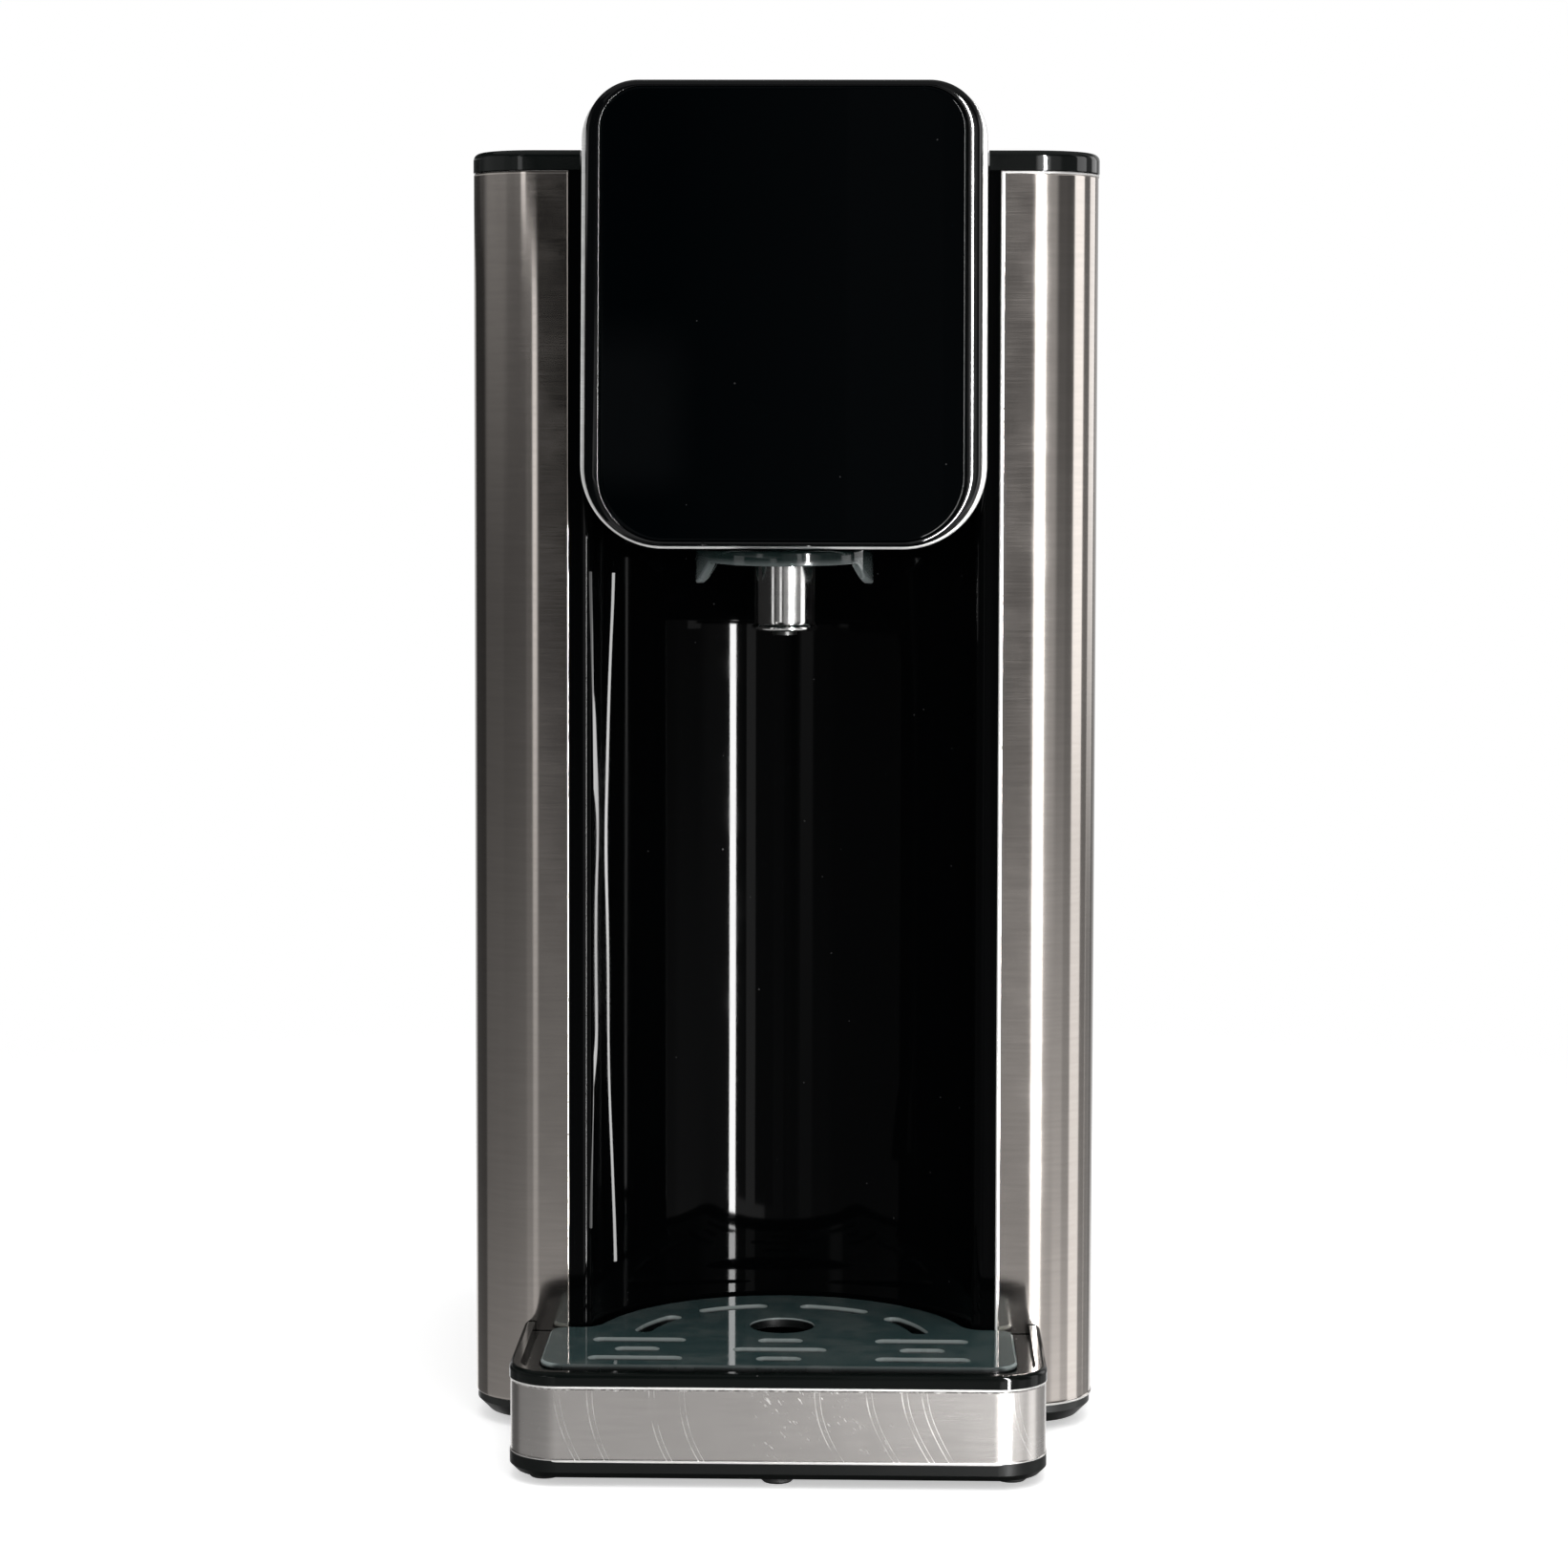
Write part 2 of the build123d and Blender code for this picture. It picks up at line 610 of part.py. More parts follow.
def thermal_cutouts():
    """Two round cut-outs on the heater pad."""
    discs = []
    for z in (140.0, 174.0):
        disc = bar_x(HEATER_Y, z, HEATER_X + 22, HEATER_X + 29, 16)
        disc += block(HEATER_X + 28, HEATER_X + 36, HEATER_Y - 5, HEATER_Y - 4.2, z - 3, z + 3)
        disc += block(HEATER_X + 28, HEATER_X + 36, HEATER_Y + 4.2, HEATER_Y + 5, z - 3, z + 3)
        discs.append(disc)
    return group(discs)


def temperature_sensor():
    """Probe screwed into a flat of the heater near its outlet."""
    probe = bar_x(HEATER_Y, 209, HEATER_X - 30, HEATER_X - 19.6, 5)
    probe += bar_x(HEATER_Y, 209, HEATER_X - 24, HEATER_X - 20, 8)
    return probe - post(HEATER_X, HEATER_Y, 190, 220, HEATER_D)


def heater_clamps():
    """Two straps that hold the heater to the rear wall."""
    straps = []
    for z in (108.0, 196.0):
        strap = post(HEATER_X, HEATER_Y, z, z + 8, HEATER_D + 4)
        strap += block(HEATER_X - 8, HEATER_X + 8, HEATER_Y + 18, BACK_Y - 5.4, z, z + 8)
        strap += block(HEATER_X - 18, HEATER_X + 18, BACK_Y - 8, BACK_Y - 5.4, z, z + 8)
        strap -= post(HEATER_X, HEATER_Y, z - 1, z + 9, HEATER_D)
        for x in (HEATER_X - 14, HEATER_X + 14):
            strap -= bar_y(x, z + 4, 20, BACK_Y, 3.2)
        straps.append(strap)
    return group(straps)


def clamp_screws():
    """Four screws of the heater straps."""
    screws = []
    for z in (108.0, 196.0):
        for x in (HEATER_X - 14, HEATER_X + 14):
            screw = bar_y(x, z + 4, BACK_Y - 10, BACK_Y - 8, 6)
            screws.append(screw + bar_y(x, z + 4, BACK_Y - 8, BACK_Y - 5.4, 3.0))
    return group(screws)


def pump_motor():
    """Small direct-current motor of the pump."""
    motor = bar_y(0, PUMP_Z, -26, 4, 30)
    motor = fillet(motor.edges().sort_by(Axis.Y)[0], 2.0)
    return motor - bar_y(0, PUMP_Z, -8, 5, 3.1)


def pump_volute():
    """Pump chamber with its upward outlet."""
    volute = bar_y(0, PUMP_Z, 4, 16, 38)
    volute += post(PUMP_OUTLET_X, PUMP_OUTLET_Y, PUMP_Z, PUMP_Z + 18, 9)
    volute += post(PUMP_OUTLET_X, PUMP_OUTLET_Y, PUMP_Z, PUMP_Z + 31, NIPPLE_OD)
    volute -= bar_y(0, PUMP_Z, 6.5, 17, 31)
    volute -= bar_y(0, PUMP_Z, 3, 8, 3.1)
    volute -= post(PUMP_OUTLET_X, PUMP_OUTLET_Y, PUMP_Z, PUMP_Z + 40, NIPPLE_BORE)
    return volute


def pump_cover():
    """Lid of the pump chamber with the inlet nipple."""
    cover = bar_y(0, PUMP_Z, 16, 18.5, 38) + bar_y(0, PUMP_Z, 18, 26.2, NIPPLE_OD)
    return cover - bar_y(0, PUMP_Z, 10, 40, NIPPLE_BORE)


def pump_impeller():
    """Impeller with six vanes on its shaft."""
    wheel = bar_y(0, PUMP_Z, 8, 10, 27) + bar_y(0, PUMP_Z, 8, 13.6, 8)
    for turn in range(6):
        vane = Pos(8.2, 11.6, 0) * Box(8.6, 4.0, 1.6)
        wheel += Pos(0, 0, PUMP_Z) * Rot(0, 60 * turn, 0) * vane
    return wheel + bar_y(0, PUMP_Z, -7, 13, 3.0)


def pump_mount():
    """Rubber ring around the motor."""
    return bar_y(0, PUMP_Z, -15, -11, 36) - bar_y(0, PUMP_Z, -20, 0, 30)


def pump_bracket():
    """Bent bracket that carries the pump on the bottom plate."""
    bracket = block(-24, 24, -14.2, 8, 4.5, 6.5) + block(-24, 24, -14.2, -11.8, 4.5, 52)
    bracket -= bar_y(0, PUMP_Z, -30, 0, 36)
    return fillet(bracket.edges().filter_by(Axis.Y).group_by(Axis.Z)[-1], 6)


def hose_clips():
    """Six spring clips on the hose ends."""
    clips = []
    for z, y in ((PUMP_Z, 23.0), (DOCK_NIPPLE_Z, 58.0), (CHAMBER_NIPPLE_Z, FRONT_Y + 33)):
        clips.append(bar_y(0, z, y - 2.5, y + 2.5, HOSE_OD + 2) - bar_y(0, z, y - 5, y + 5, HOSE_OD))
    for x, y, z in (
        (PUMP_OUTLET_X, PUMP_OUTLET_Y, PUMP_Z + 25),
        (HEATER_X, HEATER_Y, HEATER_LOW_Z - 6),
        (HEATER_X, HEATER_Y, HEATER_HIGH_Z + 6),
    ):
        clips.append(ring(x, y, z - 2.5, z + 2.5, HOSE_OD + 2, HOSE_OD))
    return group(clips)


def inlet_hose():
    """Hose from the dock to the pump."""
    route = [(0, 19.5, PUMP_Z), (0, 31.5, PUMP_Z), (0, 44, DOCK_NIPPLE_Z), (0, 63, DOCK_NIPPLE_Z)]
    return pipe(route, 13.0, HOSE_OD, HOSE_ID)


def pump_hose():
    """Hose from the pump up to the heater."""
    route = [
        (PUMP_OUTLET_X, PUMP_OUTLET_Y, PUMP_Z + 20),
        (PUMP_OUTLET_X, PUMP_OUTLET_Y, PUMP_Z + 36),
        (HEATER_X, HEATER_Y, HEATER_LOW_Z - 17),
        (HEATER_X, HEATER_Y, HEATER_LOW_Z - 1),
    ]
    return pipe(route, 12.0, HOSE_OD, HOSE_ID)


def outlet_hose():
    """Hose from the heater forward into the head."""
    route = [
        (HEATER_X, HEATER_Y, HEATER_HIGH_Z + 1),
        (HEATER_X, HEATER_Y, CHAMBER_NIPPLE_Z),
        (0, FRONT_Y + 56, CHAMBER_NIPPLE_Z),
        (0, FRONT_Y + 28, CHAMBER_NIPPLE_Z),
    ]
    return pipe(route, 15.0, HOSE_OD, HOSE_ID)


def power_board():
    """Power board on the left inner wall, with its connector."""
    board = block(-73.5, -71.9, -18, 34, 90, 200)
    return board + block(-71.9, -62, 5, 15, 190, 199)


def power_components():
    """Relay, transformer and capacitors on the power board."""
    relay = block(-71.9, -56, -14, 4, 100, 122)
    transformer = block(-71.9, -50, 8, 30, 100, 128)
    triac = block(-71.9, -58, -14, 10, 138, 156)
    pieces = [relay, transformer, triac]
    for y in (-8.0, 6.0, 20.0):
        pieces.append(bar_x(y, 170, -71.9, -54, 10))
    return group(pieces)


def board_posts():
    """Four posts between the power board and the shell."""
    posts = []
    for y in (-13.0, 29.0):
        for z in (95.0, 183.0):
            posts.append(bar_x(y, z, -76.9, -73.5, 6))
    return group(posts)


def panel_cable():
    """Cable from the power board to the touch board."""
    route = [(-66, 10, 199), (-66, 10, 236), (-24, 10, 268), (-24, -63.6, HEAD_MID_Z)]
    return pipe(route, 14.0, 4.6, 0)


def reed_sensor():
    """Level sensor on the rear wall, opposite the float."""
    return block(FLOAT_X - 5, FLOAT_X + 5, BACK_Y - 10, BACK_Y - 5.4, 36, 54)


def tray_plan(inset, back_y):
    """Front part of the tray in plan."""
    return rounded(TRAY_HALF_WIDTH - inset, FRONT_Y - TRAY_REACH + inset, back_y, TRAY_CORNER_R - inset, 0)


def grille_plan(grow):
    """Outline of the grille: a rounded plate with an arc that fills the cup bay."""
    plate = rounded(GRILLE_HALF_WIDTH + grow, GRILLE_FRONT_Y - grow, GRILLE_BACK_Y + grow, 6.5, 4.0)
    plan = plate + Pos(0, BAY_Y) * Circle(GRILLE_ARC_R + grow)
    plan -= Pos(0, GRILLE_FRONT_Y - 40 - grow) * Rectangle(200, 80)
    corners = [v for v in plan.vertices() if v.Y > GRILLE_BACK_Y + grow - 0.01 and 40 < abs(v.X) < 50]
    return fillet(corners, 6.0)


def tray_tub():
    """Black tub of the drip tray with a raised bead and a sunk shelf for the grille."""
    foot = slab(tray_plan(0.1, TRAY_BACK_Y), FOOT_HEIGHT, TRAY_BAND_LOW_Z)
    low = foot.faces().sort_by(Axis.Z)[0].edges().sort_by(Axis.Y)[:-1]
    tub = chamfer(low, 1.6)
    tub += slab(tray_plan(PANEL_T + 0.1, TRAY_BACK_Y), TRAY_BAND_LOW_Z, TRAY_BAND_HIGH_Z)
    rim = slab(tray_plan(0, TRAY_BACK_Y), TRAY_BAND_HIGH_Z, TRAY_RIM_Z)
    high = rim.faces().sort_by(Axis.Z)[-1].edges().sort_by(Axis.Y)[:-1]
    tub += fillet(high, 1.2)
    arc = Pos(0, BAY_Y) * Circle(TRAY_ARC_R) - Pos(0, TRAY_BACK_Y - 60) * Rectangle(200, 116)
    tub += slab(arc, FOOT_HEIGHT, TRAY_SHELF_Z - 1.2)
    tub -= slab(tray_plan(TRAY_BEAD, TRAY_BACK_Y + 60), TRAY_SHELF_Z, TRAY_RIM_Z + 5)
    tub -= slab(grille_plan(0.4), GRILLE_TOP_Z - GRILLE_T - 0.3, TRAY_RIM_Z + 5)
    well = rounded(TRAY_WELL_HALF_WIDTH, FRONT_Y - TRAY_REACH + 16, TRAY_BACK_Y - 3.5, 6.0, 4.0)
    well += Pos(0, BAY_Y) * Circle(TRAY_ARC_R - 3.5)
    well -= Pos(0, FRONT_Y - TRAY_REACH - 24) * Rectangle(200, 80)
    tub -= slab(well, TRAY_FLOOR_Z, TRAY_RIM_Z + 5)
    return tub


def tray_band():
    """Brushed steel band around the front of the tray."""
    band = tray_plan(0, TRAY_BACK_Y - 2) - tray_plan(PANEL_T, TRAY_BACK_Y + 5)
    return slab(band, TRAY_BAND_LOW_Z, TRAY_BAND_HIGH_Z)


def tray_feet():
    """Five small pads under the tray."""
    front = FRONT_Y - TRAY_REACH + TRAY_FOOT_D
    places = [(0, front), (-TRAY_FOOT_X, front + 3), (TRAY_FOOT_X, front + 3)]
    places += [(-TRAY_FOOT_X / 2, FRONT_Y + 12), (TRAY_FOOT_X / 2, FRONT_Y + 12)]
    pads = []
    for x, y in places:
        pad = post(x, y, 0, FOOT_HEIGHT, TRAY_FOOT_D)
        pads.append(chamfer(pad.edges().sort_by(Axis.Z)[0], 0.5))
    return group(pads)


def drip_grille():
    """Slotted plate over the tray."""
    plate = slab(grille_plan(0), GRILLE_TOP_Z - GRILLE_T, GRILLE_TOP_Z)
    plate = chamfer(plate.faces().sort_by(Axis.Z)[-1].edges(), 0.5)
    cuts = Pos(0, DRAIN_Y) * Circle(DRAIN_D / 2)
    for x in (-SLOT_PITCH_X, SLOT_PITCH_X):
        cuts += Pos(x, SLOT_ROW_1) * SlotOverall(SLOT_LONG, SLOT_WIDTH)
        cuts += Pos(x, SLOT_ROW_2) * SlotOverall(SLOT_SHORT, SLOT_WIDTH)
        cuts += Pos(x, SLOT_ROW_3) * SlotOverall(SLOT_LONG, SLOT_WIDTH)
    cuts += Pos(0, SLOT_ROW_1) * SlotOverall(SLOT_SHORT, SLOT_WIDTH)
    cuts += Pos(0, SLOT_ROW_2) * SlotOverall(SLOT_LONG, SLOT_WIDTH)
    cuts += Pos(0, SLOT_ROW_3) * SlotOverall(SLOT_SHORT, SLOT_WIDTH)
    for first, last in ((14.0, 38.0), (57.0, 79.5), (100.5, 123.0), (142.0, 166.0)):
        middle = CenterArc((0, BAY_Y), SLOT_ARC_R, first, last - first)
        cuts += SlotArc(middle, SLOT_WIDTH)
    return plate - slab(cuts, 10, 40)


def tank_plan(inset):
    """Plan of the tank."""
    return rounded(
        TANK_HALF_WIDTH - inset,
        TANK_FRONT_Y + inset,
        TANK_BACK_Y - inset,
        4.0 - min(inset, 3.0),
        TANK_BACK_R - inset,
    )


def grip(grow):
    """Finger recess in the back of the tank."""
    half = GRIP_HALF_WIDTH + grow
    deep = TANK_BACK_Y - GRIP_DEPTH - grow
    hollow = block(-half, half, deep, TANK_BACK_Y + 5, GRIP_LOW_Z - grow, GRIP_HIGH_Z + grow)
    return fillet(hollow.edges().filter_by(Axis.Y), GRIP_CORNER_R + grow)


def lug_places():
    """Places of the lid hinge brackets."""
    return (-LUG_X, LUG_X)


def tank_shell():
    """Smoked clear tank with a finger recess and a float post."""
    tank = slab(tank_plan(0), TANK_BOTTOM_Z, TANK_TOP_Z)
    tank = fillet(tank.faces().sort_by(Axis.Z)[0].edges(), 2.0)
    tank -= grip(0)
    core = slab(tank_plan(TANK_WALL), TANK_BOTTOM_Z + TANK_FLOOR, TANK_TOP_Z + 5)
    core -= grip(TANK_WALL)
    tank -= core
    tank -= post(0, VALVE_Y, 20, 40, 26.0)
    tank += post(FLOAT_X, FLOAT_Y, TANK_BOTTOM_Z + 2, 60, 6.0)
    tank += post(FLOAT_X, FLOAT_Y, 60, 61.6, 9.0)
    return tank


def tank_lid():
    """Lid of the tank with a rounded hinge edge and a finger groove at the back."""
    plan = tank_plan(0) - Pos(0, TANK_FRONT_Y) * Rectangle(200, 2 * (LID_HINGE_Y - TANK_FRONT_Y))
    lid = slab(plan, LID_HINGE_Z - LID_NOSE_R, COVER_TOP_Z)
    top = [e for e in lid.faces().sort_by(Axis.Z)[-1].edges() if e.center().Y > LID_HINGE_Y + 1]
    lid = fillet(top, LID_EDGE_R)
    inner_x = TANK_HALF_WIDTH - TANK_WALL
    inner_r = TANK_BACK_R - TANK_WALL
    under = rounded(inner_x, LID_HINGE_Y + 5, TANK_BACK_Y - TANK_WALL, 2.0, inner_r)
    lid -= slab(under, 300, COVER_TOP_Z - LID_T)
    lid += bar_x(LID_HINGE_Y, LID_HINGE_Z, -TANK_HALF_WIDTH + 1, TANK_HALF_WIDTH - 1, 2 * LID_NOSE_R)
    groove_y = TANK_BACK_Y - NOTCH_DEPTH
    lid -= block(-NOTCH_HALF_WIDTH, NOTCH_HALF_WIDTH, groove_y, TANK_BACK_Y + 2, 310, COVER_TOP_Z - 2.6)
    lid -= block(-90, 90, LID_HINGE_Y - 9, LID_HINGE_Y, LID_HINGE_Z + LID_NOSE_R, 340)
    for x in lug_places():
        lid -= block(x - 3.4, x + 3.4, TANK_FRONT_Y - 3, LID_HINGE_Y + 4.2, 300, 340)
        lid -= bar_x(LID_HINGE_Y, LID_HINGE_Z, x - 11, x + 11, HINGE_BORE_D)
    return lid


def lid_hinge_brackets():
    """Two brackets hooked over the front rim of the tank, which carry the lid."""
    brackets = []
    for x in lug_places():
        low = x - LUG_T / 2
        high = x + LUG_T / 2
        back = LID_HINGE_Y + LUG_EYE_D / 2
        bracket = bar_x(LID_HINGE_Y, LID_HINGE_Z, low, high, LUG_EYE_D)
        bracket += block(low, high, TANK_FRONT_Y + 0.8, back, TANK_TOP_Z, LID_HINGE_Z)
        bracket += block(low, high, TANK_FRONT_Y + TANK_WALL, back, TANK_TOP_Z - LUG_LEG, TANK_TOP_Z)
        brackets.append(bracket - bar_x(LID_HINGE_Y, LID_HINGE_Z, low - 2, high + 2, HINGE_PIN_D))
    return group(brackets)


def lid_hinge_pins():
    """Two hinge pins held in the brackets."""
    pins = [bar_x(LID_HINGE_Y, LID_HINGE_Z, x - 10, x + 10, HINGE_PIN_D) for x in lug_places()]
    return group(pins)


def valve_body():
    """Valve housing in the floor of the tank, with a guide bar across its throat."""
    floor = TANK_BOTTOM_Z + TANK_FLOOR
    body = post(0, VALVE_Y, 24.5, floor, 25.8) + post(0, VALVE_Y, floor, floor + 2, 34)
    body -= post(0, VALVE_Y, 29, 60, 18)
    body -= post(0, VALVE_Y, 20, 40, 10)
    bridge = block(-5.5, 5.5, VALVE_Y - 1, VALVE_Y + 1, 25, 28) + post(0, VALVE_Y, 25, 28, 7)
    return body + (bridge - post(0, VALVE_Y, 20, 40, VALVE_GUIDE_D))


def valve_poppet():
    """Poppet that the dock pin holds open while the tank is seated."""
    poppet = post(0, VALVE_Y, 32, 34.4, 14) + post(0, VALVE_Y, 23.5, 33, VALVE_STEM_D)
    return poppet + post(0, VALVE_Y, 34, 37, 5)


def spring_path(radius, low_z, high_z, turns):
    """Coil of quarter turns, each drawn as two arcs that meet on a common tangent."""
    steps = int(turns * 4)
    rise = (high_z - low_z) / steps
    slope = rise / (radius * math.pi / 2)
    points = []
    tangents = []
    for i in range(steps + 1):
        angle = math.pi / 2 * i
        points.append(Vector(radius * math.cos(angle), VALVE_Y + radius * math.sin(angle), low_z + rise * i))
        tangents.append(Vector(-math.sin(angle), math.cos(angle), slope).normalized())
    edges = []
    for p0, p1, t0, t1 in zip(points[:-1], points[1:], tangents[:-1], tangents[1:]):
        span = p1 - p0
        a = 2 * (1 - t0.dot(t1))
        b = 2 * span.dot(t0 + t1)
        c = -span.dot(span)
        reach = (-b + math.sqrt(b * b - 4 * a * c)) / (2 * a)
        joint = (p0 + t0 * reach + p1 - t1 * reach) * 0.5
        along = (p1 - t1 * reach - p0 - t0 * reach).normalized()
        edges.append(TangentArc(p0, joint, tangent=t0))
        edges.append(TangentArc(joint, p1, tangent=along))
    return Wire(edges)


def valve_spring():
    """Coil spring between the filter and the poppet."""
    path = spring_path(5.0, 35.3, 55.1, 6)
    start = Plane(origin=path @ 0, z_dir=path % 0)
    return sweep(start * Circle(0.5), path=path)


def tank_filter():
    """Slotted filter cup over the valve."""
    low = TANK_BOTTOM_Z + TANK_FLOOR + 2
    cup = post(0, VALVE_Y, low, 58, 32) - post(0, VALVE_Y, low - 1, 55.8, 28)
    for turn in range(6):
        slot_cut = block(-40, 40, -1.6, 1.6, low + 4, 52)
        cup -= Pos(0, VALVE_Y, 0) * Rot(0, 0, 30 * turn) * slot_cut
    return cup


def level_float():
    """Ring float with a magnet, on its post in the tank."""
    body = ring(FLOAT_X, FLOAT_Y, 36, 47, 20, 6.8)
    rims = body.edges().filter_by(GeomType.CIRCLE).sort_by(SortBy.RADIUS)[-2:]
    return fillet(rims, 2.0)


def all_nodes():
    """Every node of the assembly by name."""
    return {
        "left_steel_panel": side_panel(-1),
        "right_steel_panel": side_panel(1),
        "front_housing": front_housing(),
        "rear_wall": rear_wall(),
        "rear_screws": rear_screws(),
        "top_cover": top_cover(),
        "base_frame": base_frame(),
        "bottom_plate": bottom_plate(),
        "base_screws": base_screws(),
        "rubber_feet": rubber_feet(),
        "dock_housing": dock_housing(),
        "dock_seal": dock_seal(),
        "cord_gland": cord_gland(),
        "head_shell": head_shell(),
        "head_frame": head_frame(),
        "head_trim": head_trim(),
        "control_glass": control_glass(),
        "display_board": display_board(),
        "display_module": display_module(),
        "touch_springs": touch_springs(),
        "spout_shroud": spout_shroud(),
        "spout_tube": spout_tube(),
        "spout_insert": spout_insert(),
        "spout_seal": spout_seal(),
        "outlet_chamber": outlet_chamber(),
        "heater_body": heater_body(),
        "heater_terminals": heater_terminals(),
        "thermal_cutouts": thermal_cutouts(),
        "temperature_sensor": temperature_sensor(),
        "heater_clamps": heater_clamps(),
        "clamp_screws": clamp_screws(),
        "pump_motor": pump_motor(),
        "pump_volute": pump_volute(),
        "pump_cover": pump_cover(),
        "pump_impeller": pump_impeller(),
        "pump_mount": pump_mount(),
        "pump_bracket": pump_bracket(),
        "hose_clips": hose_clips(),
        "inlet_hose": inlet_hose(),
        "pump_hose": pump_hose(),
        "outlet_hose": outlet_hose(),
        "power_board": power_board(),
        "power_components": power_components(),
        "board_posts": board_posts(),
        "panel_cable": panel_cable(),
        "reed_sensor": reed_sensor(),
        "tray_tub": tray_tub(),
        "tray_band": tray_band(),
        "tray_feet": tray_feet(),
        "drip_grille": drip_grille(),
        "tank_shell": tank_shell(),
        "tank_lid": tank_lid(),
        "lid_hinge_brackets": lid_hinge_brackets(),
        "lid_hinge_pins": lid_hinge_pins(),
        "valve_body": valve_body(),
        "valve_poppet": valve_poppet(),
        "valve_spring": valve_spring(),
        "tank_filter": tank_filter(),
        "level_float": level_float(),
    }


os.makedirs("parts", exist_ok=True)
for name, shape in all_nodes().items():
    export_step(shape, "parts/" + name + ".step")
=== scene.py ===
"""Looks of a countertop water dispenser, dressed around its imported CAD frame.

Lengths are in metres in the frame of the part: X to the right, Y to the back, Z up from the table.
"""

import json
import logging
import math
from collections.abc import Callable
from dataclasses import dataclass
from enum import Enum
from functools import cache

import bmesh
import bpy
import numpy as np
from mathutils import Euler, Matrix, Vector


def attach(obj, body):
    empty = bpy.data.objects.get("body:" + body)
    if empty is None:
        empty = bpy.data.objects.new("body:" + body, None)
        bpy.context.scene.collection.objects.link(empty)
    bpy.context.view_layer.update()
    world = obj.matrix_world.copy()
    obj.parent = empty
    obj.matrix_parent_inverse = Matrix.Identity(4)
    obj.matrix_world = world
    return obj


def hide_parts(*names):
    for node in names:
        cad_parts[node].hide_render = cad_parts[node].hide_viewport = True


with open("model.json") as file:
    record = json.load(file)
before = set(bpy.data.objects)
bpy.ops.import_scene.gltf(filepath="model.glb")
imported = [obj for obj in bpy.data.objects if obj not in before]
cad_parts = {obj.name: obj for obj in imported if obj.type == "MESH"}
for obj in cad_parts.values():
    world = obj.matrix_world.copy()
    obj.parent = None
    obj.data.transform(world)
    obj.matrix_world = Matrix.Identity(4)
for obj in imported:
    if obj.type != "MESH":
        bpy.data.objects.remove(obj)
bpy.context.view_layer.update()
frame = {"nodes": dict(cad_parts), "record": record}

LOG = logging.getLogger("dispenser")
MM = 0.001
Socket = bpy.types.NodeSocket
Colour = tuple[float, float, float]
Point = tuple[float, float, float]
Plan = tuple[float, float]
Stops = tuple[tuple[float, float], ...]


class Body(Enum):
    """Moving bodies of the part that new pieces ride on."""

    HOUSING = "housing"
    TRAY = "drip_tray"


class Slot(Enum):
    """Material slots of the record that new pieces belong to."""

    STEEL = "brushed_steel"
    GLOSS = "gloss_black"
    TRIM = "bright_trim"
    GLASS = "control_glass"
    COLLAR = "smoked_collar"
    SPOUT = "spout_steel"


# Surfaces


@dataclass
class Surface:
    """A grid of points, one row per step along the first parameter.

    Fields:
        points: array of rows, columns and three coordinates, in millimetres.
        hem: array of rows and columns, one on a rolled edge and nothing elsewhere; the finish paints a highlight where
            it is set.
        wrap_rows: the last row joins the first.
        wrap_columns: the last column joins the first.
    """

    points: np.ndarray
    hem: np.ndarray | None = None
    wrap_rows: bool = False
    wrap_columns: bool = False

    def faces(self) -> np.ndarray:
        """Four corner numbers of each face, as an array of faces by four."""
        rows, columns = self.points.shape[:2]
        row = np.arange(rows if self.wrap_rows else rows - 1)[:, None]
        column = np.arange(columns if self.wrap_columns else columns - 1)[None, :]
        next_row, next_column = (row + 1) % rows, (column + 1) % columns
        corners = ((row, column), (row, next_column), (next_row, next_column), (next_row, column))
        return np.stack(np.broadcast_arrays(*(r * columns + c for r, c in corners)), -1).reshape(-1, 4)


def build(name: str, surface: Surface) -> bpy.types.Object:
    """Make one smooth object from a grid, with points that meet merged.

    Args:
        name: name of the piece.
        surface: its grid, in millimetres.

    Returns:
        The new object, at the origin.
    """
    mesh = bpy.data.meshes.new(name)
    mesh.from_pydata(surface.points.reshape(-1, 3) * MM, [], surface.faces())
    if surface.hem is not None:
        mark = mesh.attributes.new("hem", "FLOAT", "POINT")
        mark.data.foreach_set("value", surface.hem.reshape(-1).astype(np.float32))
    work = bmesh.new()
    work.from_mesh(mesh)
    bmesh.ops.remove_doubles(work, verts=work.verts, dist=2e-6)
    bmesh.ops.recalc_face_normals(work, faces=work.faces)
    work.to_mesh(mesh)
    work.free()
    mesh.shade_smooth()
    piece = bpy.data.objects.new(name, mesh)
    bpy.context.scene.collection.objects.link(piece)
    return piece


def arc(cx: float, cy: float, radius: float, first: float, last: float, steps: int) -> np.ndarray:
    """Points on a circle: centre plus radius times cosine and sine of an angle.

    Args:
        cx: first coordinate of the centre.
        cy: second coordinate of the centre.
        radius: radius of the circle.
        first: first angle in degrees.
        last: last angle in degrees.
        steps: number of steps.

    Returns:
        Array of points by two.
    """
    angle = np.radians(np.linspace(first, last, steps + 1))
    return np.stack([cx + radius * np.cos(angle), cy + radius * np.sin(angle)], -1)


def spaced(start: Plan, end: Plan, count: int) -> np.ndarray:
    """Evenly spaced points from one point in plan to another, both included."""
    return np.linspace(np.array(start, float), np.array(end, float), count)


